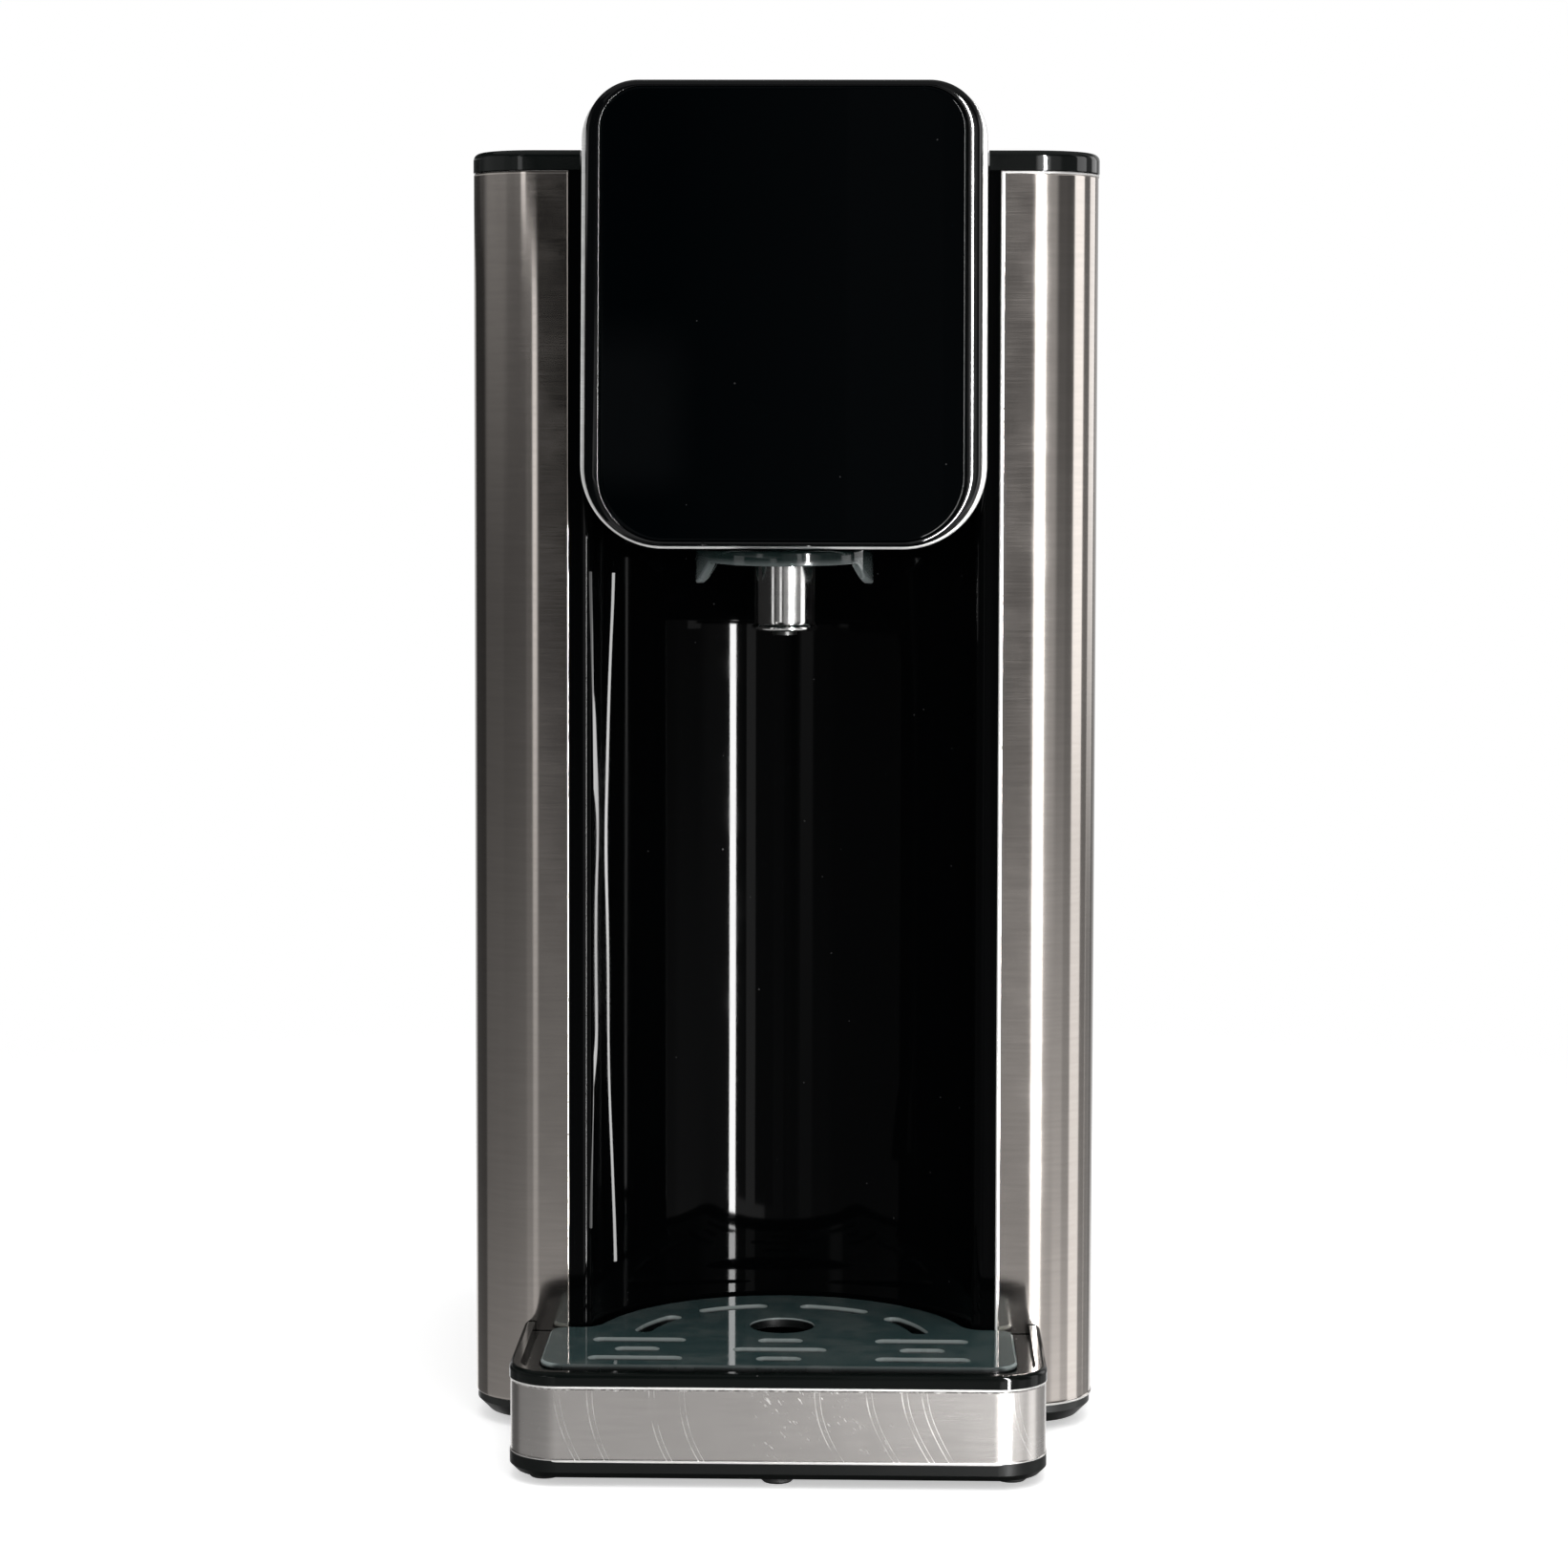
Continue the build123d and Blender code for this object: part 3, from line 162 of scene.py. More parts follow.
def sheet_along(path: np.ndarray, half: float, low: float, high: float) -> Surface:
    """A standing sheet with rolled hems, carried along a path in plan.

    The section across the sheet is a bead at the top and one at the bottom, each most of a circle
    of half the hem's thickness, joined by two straight sides; the outer side lies a little behind
    the crowns of the beads. Both ends of the path carry the same bead upright: the sheet swells to
    it along a circle and then falls to nothing along a quarter circle.

    Args:
        path: middle line of the hem in plan, points by two, with the outer side on its right.
        half: half of the hem's thickness.
        low: height of the lower edge.
        high: height of the upper edge.

    Returns:
        Closed surface of the sheet, with its hems marked.
    """
    flat = 0.45 * half
    bead_steps = 16
    near_end = half * np.array([0.15, 0.35, 0.55, 0.75, 0.89, 1.4, 2.0])[:, None]
    turn = np.radians(np.linspace(15, 90, 6))[:, None]
    straight, cap = len(near_end) + 1, len(turn)
    first, last = path[1] - path[0], path[-1] - path[-2]
    first, last = first / np.linalg.norm(first), last / np.linalg.norm(last)
    starts, ends = path[0] + first * near_end, path[-1] - last * near_end[::-1]
    inner = np.concatenate([path[:1], starts, path[1:-1], ends, path[-1:]])
    line = np.concatenate([path[0] - first * half * np.sin(turn[::-1]), inner, path[-1] + last * half * np.sin(turn)])
    along = np.gradient(inner, axis=0)
    along[:straight], along[-straight:] = first, last
    along = np.pad(along, ((cap, cap), (0, 0)), mode="edge")
    along /= np.linalg.norm(along, axis=1, keepdims=True)
    across = np.stack([along[:, 1], -along[:, 0]], -1)
    inset = np.minimum(np.linalg.norm(inner - path[0], axis=1), np.linalg.norm(inner - path[-1], axis=1))
    swell = np.maximum(flat, np.sqrt(np.maximum(half**2 - inset**2, 0.0)))
    swell = np.pad(swell, cap, constant_values=half)
    thick = np.concatenate([np.cos(turn[::-1, 0]), np.ones(len(inner)), np.cos(turn[:, 0])])
    top = arc(0, high - half, half, -62, 180, bead_steps)
    bottom = arc(0, low + half, half, 180, 422, bead_steps)
    back = np.array([[-half, high - 2.0 * half], [-half, low + 2.0 * half]])
    levels = [low + 2.6 * half, low + 3.4 * half, high - 3.4 * half, high - 2.6 * half]
    body = np.stack([np.full(len(levels), flat), np.array(levels)], -1)
    section = np.concatenate([top, back, bottom, body])
    outside = section[:, 0] > 0
    level = np.minimum(section[:, 1] - low, high - section[:, 1]) > 0.5 * half
    offset = np.where(outside & level, np.maximum(section[:, 0], swell[:, None]), section[:, 0]) * thick[:, None]
    plan = line[:, None, :] + across[:, None, :] * offset[..., None]
    height = np.broadcast_to(section[None, :, 1], offset.shape)
    # Mark of the beads and of the swelling ends, where the steel's finish paints a highlight.
    rise = np.linspace(0.0, 4.0, bead_steps + 1)
    bead = np.concatenate([rise, np.zeros(len(back)), rise[::-1], np.zeros(len(body))])
    bead = np.where(section[:, 0] > -0.5 * half, np.clip(bead, 0.0, 1.0), 0.0)
    upright = np.clip((swell - flat) / (0.5 * half), 0.0, 1.0)[:, None] * outside[None, :]
    hem = np.maximum(bead[None, :], upright)
    return Surface(np.concatenate([plan, height[..., None]], -1), hem, wrap_columns=True)


def lathe(radius: np.ndarray, height: np.ndarray, y: float, steps: int, hem: np.ndarray | None = None) -> Surface:
    """A closed profile turned about an upright axis: its radius times sine and cosine of an angle.

    Args:
        radius: radius of each profile point.
        height: height of each profile point, or one row of heights for each step.
        y: place of the axis along Y.
        steps: number of steps round the axis.
        hem: mark of each point.

    Returns:
        Turned surface.
    """
    angle = np.linspace(0, 2 * np.pi, steps, endpoint=False)[:, None]
    points = np.broadcast_arrays(radius * np.sin(angle), y - radius * np.cos(angle), height)
    return Surface(np.stack(points, -1), hem, wrap_rows=True, wrap_columns=True)


# Shader effects


@dataclass(frozen=True)
class Value:
    """An output of a node, with the arithmetic for numbers."""

    graph: "Graph"
    socket: Socket

    def __add__(self, other: "Value | float") -> "Value":
        """Sum of the two."""
        return self.graph.math("ADD", self, other)

    def __sub__(self, other: "Value | float") -> "Value":
        """This less the other."""
        return self.graph.math("SUBTRACT", self, other)

    def __rsub__(self, other: float) -> "Value":
        """A number less this."""
        return self.graph.math("SUBTRACT", other, self)

    def __mul__(self, other: "Value | float") -> "Value":
        """Product of the two."""
        return self.graph.math("MULTIPLY", self, other)

    def __truediv__(self, other: "Value | float") -> "Value":
        """This divided by the other."""
        return self.graph.math("DIVIDE", self, other)

    def __rtruediv__(self, other: float) -> "Value":
        """A number divided by this."""
        return self.graph.math("DIVIDE", other, self)

    def __abs__(self) -> "Value":
        """Size without the sign."""
        return self.graph.math("ABSOLUTE", self)

    def most(self, other: "Value | float") -> "Value":
        """Larger of the two."""
        return self.graph.math("MAXIMUM", self, other)

    def least(self, other: "Value | float") -> "Value":
        """Smaller of the two."""
        return self.graph.math("MINIMUM", self, other)


class Graph:
    """Short way to place and link the nodes of one tree."""

    def __init__(self, tree: bpy.types.NodeTree) -> None:
        """Start from an empty tree."""
        self.tree = tree
        tree.nodes.clear()

    def add(self, kind: str, inputs: dict | None = None, **settings: object) -> bpy.types.Node:
        """Place one node.

        Args:
            kind: Blender's name of the node type.
            inputs: a plain value, or a value or node to link, for each input, by name or number.
            **settings: properties of the node.

        Returns:
            The new node.
        """
        node = self.tree.nodes.new(kind)
        for name, value in settings.items():
            setattr(node, name, value)
        for name, value in (inputs or {}).items():
            if isinstance(value, Value):
                self.tree.links.new(value.socket, node.inputs[name])
            elif isinstance(value, bpy.types.Node):
                self.tree.links.new(value.outputs[0], node.inputs[name])
            else:
                node.inputs[name].default_value = value
        return node

    def read(self, node: bpy.types.Node, output: str | int = 0) -> Value:
        """One output of a node."""
        return Value(self, node.outputs[output])

    def math(self, operation: str, *values: Value | float) -> Value:
        """Result of one arithmetic node."""
        return self.read(self.add("ShaderNodeMath", dict(enumerate(values)), operation=operation))

    def remap(self, value: Value, low: float, high: float, to_low: float = 0.0, to_high: float = 1.0) -> Value:
        """A value carried smoothly from one range to another and held at the ends."""
        sockets = {0: value, 1: low, 2: high, 3: to_low, 4: to_high}
        return self.read(self.add("ShaderNodeMapRange", sockets, interpolation_type="SMOOTHSTEP"))

    def blend(self, share: Value, first: Value | Colour, second: Value | Colour) -> Value:
        """Two colours mixed by a share."""
        sockets = {0: share}
        for number, colour in ((6, first), (7, second)):
            sockets[number] = colour if isinstance(colour, Value) else (*colour, 1.0)
        return self.read(self.add("ShaderNodeMix", sockets, data_type="RGBA"), 2)

    def noise(self, place: Value, scale: Value | float, detail: float) -> Value:
        """A cloud of the given number of lumps to the metre."""
        sockets = {"Vector": place, "Scale": scale, "Detail": detail}
        return self.read(self.add("ShaderNodeTexNoise", sockets), "Fac")

    def vector(self, operation: str, *values: Value | Point, output: str = "Vector") -> Value:
        """Result of one vector node."""
        return self.read(self.add("ShaderNodeVectorMath", dict(enumerate(values)), operation=operation), output)

    def stretch(self, place: Value, level: Value | float, upright: Value | float) -> Value:
        """Coordinates scaled along X and Y by one number and along Z by another."""
        scale = self.read(self.add("ShaderNodeCombineXYZ", {0: level, 1: level, 2: upright}))
        return self.vector("MULTIPLY", place, scale)

    def axes(self, place: Value) -> list[Value]:
        """X, Y and Z of a place."""
        node = self.add("ShaderNodeSeparateXYZ", {0: place})
        return [self.read(node, number) for number in range(3)]

    def object_place(self) -> Value:
        """Place in the object's own coordinates."""
        return self.read(self.add("ShaderNodeTexCoord"), "Object")


def shared_effect(*labels: str) -> Callable:
    """Turn a function that wires an effect into one that gives its node group, made once.

    Args:
        *labels: names of the group's number inputs, which follow its place.

    Returns:
        Decorator of a function that takes the graph, the place and the numbers and returns the
        group's outputs by name.
    """

    def wrap(wire: Callable) -> Callable:
        """Make the function that gives the group."""

        @cache
        def group() -> bpy.types.NodeTree:
            """The node group of this effect."""
            tree = bpy.data.node_groups.new(wire.__name__, "ShaderNodeTree")
            tree.interface.new_socket("Place", in_out="INPUT", socket_type="NodeSocketVector")
            for label in labels:
                tree.interface.new_socket(label, in_out="INPUT", socket_type="NodeSocketFloat")
            graph = Graph(tree)
            source = graph.add("NodeGroupInput")
            results = wire(graph, *(graph.read(source, label) for label in ("Place", *labels)))
            for label in results:
                tree.interface.new_socket(label, in_out="OUTPUT", socket_type="NodeSocketFloat")
            graph.add("NodeGroupOutput", results)
            return tree

        return group

    return wrap


@shared_effect("Lines", "Length")
def brush_lines(graph: Graph, place: Value, lines: Value, length: Value) -> dict[str, Value]:
    """Fine level brush lines: noise that is drawn out along X and Y and packed along Z."""
    inverse = 1.0 / length
    fine = graph.noise(graph.stretch(place, inverse, lines), 1.0, 3.0)
    slow = graph.noise(graph.stretch(place, inverse, lines * 0.11), 1.0, 2.0)
    return {"Height": fine, "Tone": slow}


@shared_effect("Scale")
def handling_film(graph: Graph, place: Value, scale: Value) -> dict[str, Value]:
    """Faint film left by hands and cloths: two clouds of different size, multiplied and spread."""
    both = graph.noise(place, scale, 3.0) * graph.noise(place, scale * 4.3, 4.0)
    return {"Mask": graph.remap(both, 0.16, 0.38)}


@shared_effect("Cells", "Size", "Share")
def dust_specks(graph: Graph, place: Value, cells: Value, size: Value, share: Value) -> dict[str, Value]:
    """Sparse specks: small round spots at the middle of a few of the cells of a Voronoi pattern."""
    pattern = graph.add("ShaderNodeTexVoronoi", {"Vector": place, "Scale": cells})
    pick = graph.read(graph.add("ShaderNodeSeparateColor", {0: graph.read(pattern, "Color")}))
    near = graph.math("LESS_THAN", graph.read(pattern, "Distance"), size)
    return {"Mask": near * graph.math("LESS_THAN", pick, share)}


@shared_effect("Grain", "Wave")
def moulded_skin(graph: Graph, place: Value, grain: Value, wave: Value) -> dict[str, Value]:
    """Moulded plastic skin: a fine spark-eroded grain on a slow waviness of the wall."""
    return {"Grain": graph.noise(place, grain, 2.0), "Wave": graph.noise(place, wave, 1.0)}


@shared_effect("Height", "Reach", "Length")
def rim_wear(graph: Graph, place: Value, height: Value, reach: Value, length: Value) -> dict[str, Value]:
    """Bare patches along a level rim: nearness to a height, broken up by noise drawn out along the rim."""
    near = 1.0 - abs(graph.axes(place)[2] - height) / reach
    patches = graph.noise(graph.stretch(place, 1.0 / length, 1500.0), 1.0, 4.0)
    return {"Mask": graph.remap(near.most(0.0) + patches, 1.22, 1.4)}


@shared_effect("Step", "Lean", "Width", "Low", "High")
def bowed_scratches(
    graph: Graph, place: Value, step: Value, lean: Value, width: Value, low: Value, high: Value
) -> dict[str, Value]:
    """Long thin scratches in pairs: at most one pair to each step along X, set by a random number for
    the step, leaning further the lower they reach, and broken up by a cloud."""
    x, _, z = graph.axes(place)
    bow = graph.math("POWER", (high - z) / (high - low), 2.0) * lean
    sway = (graph.noise(place, 30.0, 0.0) - 0.5) * 0.004
    along = x + sway - bow
    cell = graph.math("FLOOR", along / step)
    chance = graph.read(graph.add("ShaderNodeTexWhiteNoise", {"W": cell}, noise_dimensions="1D"), "Color")
    chances = graph.add("ShaderNodeSeparateColor", {0: chance})
    spot = graph.remap(graph.read(chances, 0), 0.0, 1.0, 0.2, 0.7) * step
    away = along - cell * step - spot
    second = abs(away - 0.0013) / width
    near = (abs(away) / width).least(second * 1.5)
    there = graph.math("GREATER_THAN", graph.read(chances, 1), 0.42)
    lasting = graph.remap(graph.noise(place, 160.0, 2.0), 0.38, 0.62, 0.15, 1.0)
    return {"Mask": graph.remap(near, 0.0, 1.0, 1.0, 0.0) * there * lasting}


@shared_effect("Fine", "Wide")
def scuff_flecks(graph: Graph, place: Value, fine: Value, wide: Value) -> dict[str, Value]:
    """Small bright flecks: the peaks of a fine slanting cloud, only where a wide cloud is high."""
    slanted = graph.read(graph.add("ShaderNodeMapping", {"Vector": place, "Rotation": (0.0, 0.7, 0.0)}))
    peaks = graph.remap(graph.noise(graph.stretch(slanted, 1.0, 0.3), fine, 3.0), 0.63, 0.72)
    return {"Mask": peaks * graph.remap(graph.noise(place, wide, 1.0), 0.48, 0.62)}


class Dressing(Graph):
    """Tree of one material with its Principled shader, ready to be wired."""

    def __init__(self, name: str, **constants: object) -> None:
        """Make the material.

        Args:
            name: name of the material.
            **constants: plain values of the shader's own sockets, with _ for a space.
        """
        self.material = bpy.data.materials.new(name)
        self.material.use_nodes = True
        super().__init__(self.material.node_tree)
        plain = {label.replace("_", " "): value for label, value in constants.items()}
        self.shader = self.add("ShaderNodeBsdfPrincipled", plain)
        self.add("ShaderNodeOutputMaterial", {"Surface": self.shader})
        coordinates = self.add("ShaderNodeTexCoord")
        self.place = self.read(coordinates, "Object")
        self.facing = self.read(coordinates, "Normal")

    def effect(self, group: Callable, **values: float) -> dict[str, Value]:
        """Outputs of a shared effect that is placed with this material's own values."""
        node = self.add("ShaderNodeGroup", {"Place": self.place, **values}, node_tree=group())
        return {socket.name: Value(self, socket) for socket in node.outputs}

    def mark(self, name: str) -> Value:
        """Value of a mark stored on the piece's points."""
        return self.read(self.add("ShaderNodeAttribute", attribute_name=name), "Fac")

    def bump(self, height: Value, distance: float, below: Value | None = None) -> Value:
        """Normal of a bump of the given depth in metres, on top of another normal."""
        sockets = {"Height": height, "Distance": distance, "Strength": 1.0}
        if below is not None:
            sockets["Normal"] = below
        return self.read(self.add("ShaderNodeBump", sockets))

    def finish(self, **values: Value) -> bpy.types.Material:
        """Link values to the shader's sockets, with _ for a space, and give the material."""
        for label, value in values.items():
            self.tree.links.new(value.socket, self.shader.inputs[label.replace("_", " ")])
        return self.material


# Finishes


def shade(tone: Colour, factor: float) -> Colour:
    """A colour made darker or lighter by a factor, up to white."""
    return tuple(min(1.0, factor * part) for part in tone)


@dataclass(frozen=True)
class Finish:
    """A surface finish with one material."""

    name: str

    @cache
    def material(self) -> bpy.types.Material:
        """The material of this finish, made once."""
        return self.wire()

    def wire(self) -> bpy.types.Material:
        """Wire the material; each kind of finish has its own way."""
        raise NotImplementedError


@dataclass(frozen=True)
class BrushedSteel(Finish):
    """Stainless sheet, finely brushed and lacquered, with rolled hems painted near-white and mostly non-metal as a
    highlight.
    """

    tone: Colour = (0.50, 0.459, 0.427)
    roughness: float = 0.095
    painted_hem_highlight: Colour = (0.88, 0.87, 0.85)
    bare_tone: Colour = (0.93, 0.92, 0.9)
    scratched: bool = False
    low: float = 0.0
    high: float = 0.0

    def wire(self) -> bpy.types.Material:
        """Brush lines for tone, roughness and bump, then scratches, flecks, a worn rim and the painted highlight on the
        hems.
        """
        kit = Dressing(self.name)
        lines = kit.effect(brush_lines, Lines=9000.0, Length=0.012)
        film = kit.effect(handling_film, Scale=22.0)["Mask"]
        colour = kit.blend(lines["Tone"], shade(self.tone, 0.93), shade(self.tone, 1.07))
        rough = kit.remap(lines["Height"], 0.3, 0.7, self.roughness - 0.015, self.roughness + 0.015) + film * 0.02
        normal = kit.bump(lines["Height"], 2.5e-7)
        if self.scratched:
            span = {"Low": self.low, "High": self.high}
            marks = kit.effect(bowed_scratches, Step=0.0085, Lean=0.0055, Width=0.00022, **span)["Mask"]
            flecks = kit.effect(scuff_flecks, Fine=1500.0, Wide=38.0)["Mask"]
            worn = kit.effect(rim_wear, Height=self.high - 0.0004, Reach=0.0019, Length=0.0012)["Mask"]
            marked = (marks * 0.42).most(flecks * 0.55).most(worn * 0.6)
            colour = kit.blend(marked, colour, self.bare_tone)
            rough = rough + marked * 0.3
            normal = kit.bump(marked, -3e-6, normal)
        # Painted highlight: on the marked hems the colour turns near-white and the metal mostly plain, so they read
        # bright under any light.
        hem = kit.mark("hem")
        return kit.finish(
            Base_Color=kit.blend(hem, colour, self.painted_hem_highlight),
            Metallic=kit.remap(hem, 0.0, 1.0, 1.0, 0.15),
            Roughness=rough + hem * 0.2,
            Normal=normal,
        )


@dataclass(frozen=True)
class GlossPlastic(Finish):
    """Deep gloss moulding or glass with a slow waviness, a thin film and a little dust."""

    tone: Colour = (0.0012, 0.0014, 0.0016)
    roughness: float = 0.04
    wave: float = 2.5e-4
    dust: float = 0.05
    index: float = 1.16
    dull_below: float = 0.0
    dust_tone: Colour = (0.12, 0.12, 0.12)

    def wire(self) -> bpy.types.Material:
        """Film and specks for roughness and tone, waviness for bump, and a dull zone low down."""
        kit = Dressing(self.name, IOR=self.index)
        film = kit.effect(handling_film, Scale=16.0)["Mask"]
        specks = kit.effect(dust_specks, Cells=420.0, Size=0.09, Share=self.dust)["Mask"]
        skin = kit.effect(moulded_skin, Grain=2200.0, Wave=9.0)
        rough = kit.remap(film, 0.0, 1.0, self.roughness, self.roughness + 0.03) + specks * 0.2
        if self.dull_below:
            fade = 0.4 * MM
            height = kit.axes(kit.place)[2]
            rough = rough.most(kit.remap(height, self.dull_below - fade, self.dull_below + fade, 0.42, 0.0))
        return kit.finish(
            Base_Color=kit.blend(specks * 0.35, self.tone, self.dust_tone),
            Roughness=rough,
            Normal=kit.bump(skin["Wave"], self.wave),
        )


@dataclass(frozen=True)
class SatinPlastic(Finish):
    """Moulded plastic with a fine grain, rubbed a little smoother in places."""

    tone: Colour
    roughness: float = 0.42
    grain: float = 8e-6

    def wire(self) -> bpy.types.Material:
        """Slow cloud for tone, film for roughness and grain for bump."""
        kit = Dressing(self.name, IOR=1.5)
        film = kit.effect(handling_film, Scale=30.0)["Mask"]
        skin = kit.effect(moulded_skin, Grain=2600.0, Wave=40.0)
        return kit.finish(
            Base_Color=kit.blend(skin["Wave"], self.tone, shade(self.tone, 1.25)),
            Roughness=kit.remap(film, 0.0, 1.0, self.roughness, self.roughness - 0.12),
            Normal=kit.bump(skin["Grain"], self.grain),
        )


@dataclass(frozen=True)
class SlatePlate(Finish):
    """Glossy slate-grey plate whose cut edges carry a painted highlight, lighter than its top, and painted shade
    further down.
    """

    tone: Colour = (0.031, 0.056, 0.057)
    dried: Colour = (0.085, 0.105, 0.102)
    # The edge colour is a painted highlight near the top of the cuts, and the deep one is painted shade further down.
    edge: Colour = (0.4, 0.46, 0.45)
    painted_slot_shade: Colour = (0.004, 0.006, 0.006)
    top: float = 27.0 * MM
    front: float = -109.3 * MM
    drain: Point = (0.0, -67.3 * MM, 0.0)
    drain_r: float = 9.2 * MM

    def wire(self) -> bpy.types.Material:
        """Dried marks on the top; on the cuts, a painted highlight rim that is thinner at the drain and faint in front,
        with painted shade below it.
        """
        kit = Dressing(self.name, IOR=1.6)
        film = kit.effect(handling_film, Scale=40.0)["Mask"]
        skin = kit.effect(moulded_skin, Grain=2400.0, Wave=45.0)
        cut = kit.remap(abs(kit.axes(kit.facing)[2]), 0.55, 0.95, 1.0, 0.0)
        _, y, z = kit.axes(kit.place)
        flat = kit.vector("MULTIPLY", kit.place, (1.0, 1.0, 0.0))
        away = kit.vector("DISTANCE", flat, self.drain, output="Value")
        # Depth below the top, stretched near the drain: the painted highlight fades into painted shade with it, and is
        # faint along the front edge.
        depth = (self.top - z) * kit.remap(away, self.drain_r, self.drain_r + 0.4 * MM, 2.2, 1.0)
        faint = kit.remap(y, self.front + 0.3 * MM, self.front + 1.5 * MM, 0.12, 1.0)
        rim = kit.remap(depth, 0.55 * MM, 1.25 * MM, 1.0, 0.0) * faint
        colour = kit.blend(film * 0.55, self.tone, self.dried)
        return kit.finish(
            Base_Color=kit.blend(cut, colour, kit.blend(rim, self.painted_slot_shade, self.edge)),
            Roughness=kit.remap(film, 0.0, 1.0, 0.05, 0.11) + cut * 0.2,
            Normal=kit.bump(skin["Grain"], 2e-6),
        )


@dataclass(frozen=True)
class ClearPlastic(Finish):
    """See-through moulding with a tint, a slow waviness, water marks and, where given, a painted highlight on marked
    edges.
    """

    tone: Colour
    roughness: float = 0.05
    passing: float = 1.0
    # Light colour painted on the marked edges as a highlight.
    painted_edge_highlight: Colour | None = None

    def wire(self) -> bpy.types.Material:
        """Film for tone and roughness, waviness for bump, and on marked edges, where there are any, a light painted
        highlight and more roughness.
        """
        kit = Dressing(self.name, IOR=1.46, Transmission_Weight=self.passing)
        film = kit.effect(handling_film, Scale=24.0)["Mask"]
        skin = kit.effect(moulded_skin, Grain=2000.0, Wave=30.0)
        colour = kit.blend(film, self.tone, shade(self.tone, 0.96))
        rough = kit.remap(film, 0.0, 1.0, self.roughness, self.roughness + 0.03)
        if self.painted_edge_highlight:
            # Painted highlight: the marked edges get a light colour, and are made rougher too.
            frost_and_highlight_mask = kit.mark("hem")
            colour = kit.blend(frost_and_highlight_mask, colour, self.painted_edge_highlight)
            rough = rough + frost_and_highlight_mask * 0.3
        return kit.finish(Base_Color=colour, Roughness=rough, Normal=kit.bump(skin["Wave"], 6e-6))


@dataclass(frozen=True)
class BareMetal(Finish):
    """Plain metal: polished, plated or as cast, with spots and fine turning lines."""

    tone: Colour
    roughness: float = 0.12
    cast: float = 0.0
    silver: float = 1.0

    def wire(self) -> bpy.types.Material:
        """Spots for tone, turning lines for roughness and bump, and a cast skin where it has one."""
        kit = Dressing(self.name, Metallic=self.silver)
        film = kit.effect(handling_film, Scale=60.0)["Mask"]
        lines = kit.effect(brush_lines, Lines=7000.0, Length=0.02)["Height"]
        normal = kit.bump(lines, 5e-7)
        if self.cast:
            normal = kit.bump(kit.effect(moulded_skin, Grain=1400.0, Wave=60.0)["Grain"], self.cast, normal)
        return kit.finish(
            Base_Color=kit.blend(film, self.tone, shade(self.tone, 0.82)),
            Roughness=kit.remap(lines, 0.3, 0.7, self.roughness * 0.8, self.roughness * 1.25) + film * 0.06,
            Normal=normal,
        )


@dataclass(frozen=True)
class CircuitBoard(Finish):
    """Lacquered board with a copper pattern showing through."""

    tone: Colour = (0.012, 0.10, 0.045)

    def wire(self) -> bpy.types.Material:
        """Brick pattern for tone and bump, film for roughness."""
        kit = Dressing(self.name, IOR=1.5)
        grid = {"Vector": kit.place, "Scale": 260.0, "Mortar Size": 0.03}
        tracks = kit.read(kit.add("ShaderNodeTexBrick", grid), "Fac")
        film = kit.effect(handling_film, Scale=50.0)["Mask"]
        return kit.finish(
            Base_Color=kit.blend(tracks, self.tone, shade(self.tone, 1.7)),
            Roughness=kit.remap(film, 0.0, 1.0, 0.3, 0.45),
            Normal=kit.bump(tracks, 1.5e-5),
        )


PANEL_STEEL = BrushedSteel("panel_steel")
BAND_STEEL = BrushedSteel("band_steel", (0.55, 0.525, 0.505), 0.24, scratched=True, low=6.5 * MM, high=24.8 * MM)
PIANO_BLACK = GlossPlastic("piano_black")
FRAME_BLACK = GlossPlastic("frame_black", (0.0028, 0.0032, 0.0036), 0.05, 2e-5, 0.02, 1.5)
TOUCH_GLASS = GlossPlastic("touch_glass", (0.0006, 0.0012, 0.0016), 0.03, 2e-5, 0.03, 1.15)
# Trim ring: a light ring, near-white and barely metallic, so that its bright line all round is partly a painted
# highlight rather than a reflection.
TRIM_PAINTED_HIGHLIGHT = BareMetal("trim_painted_highlight", (0.92, 0.92, 0.91), 0.3, silver=0.1)
SPOUT_POLISH = BareMetal("spout_polish", (0.74, 0.73, 0.72), 0.1)
# The collar's last colour is the painted highlight on its claw edges.
SMOKED = ClearPlastic("smoked_collar_plastic", (0.022, 0.042, 0.04), 0.06, 0.45, (0.5, 0.56, 0.56))
SLATE = SlatePlate("slate_plate")
COVER_BLACK = GlossPlastic("cover_black", (0.005, 0.0065, 0.006), 0.06, 2e-5, 0.04, 1.5)
TRAY_BLACK = GlossPlastic("tray_black", (0.004, 0.0055, 0.005), 0.08, 2e-5, 0.08, 1.27, 6.8 * MM)

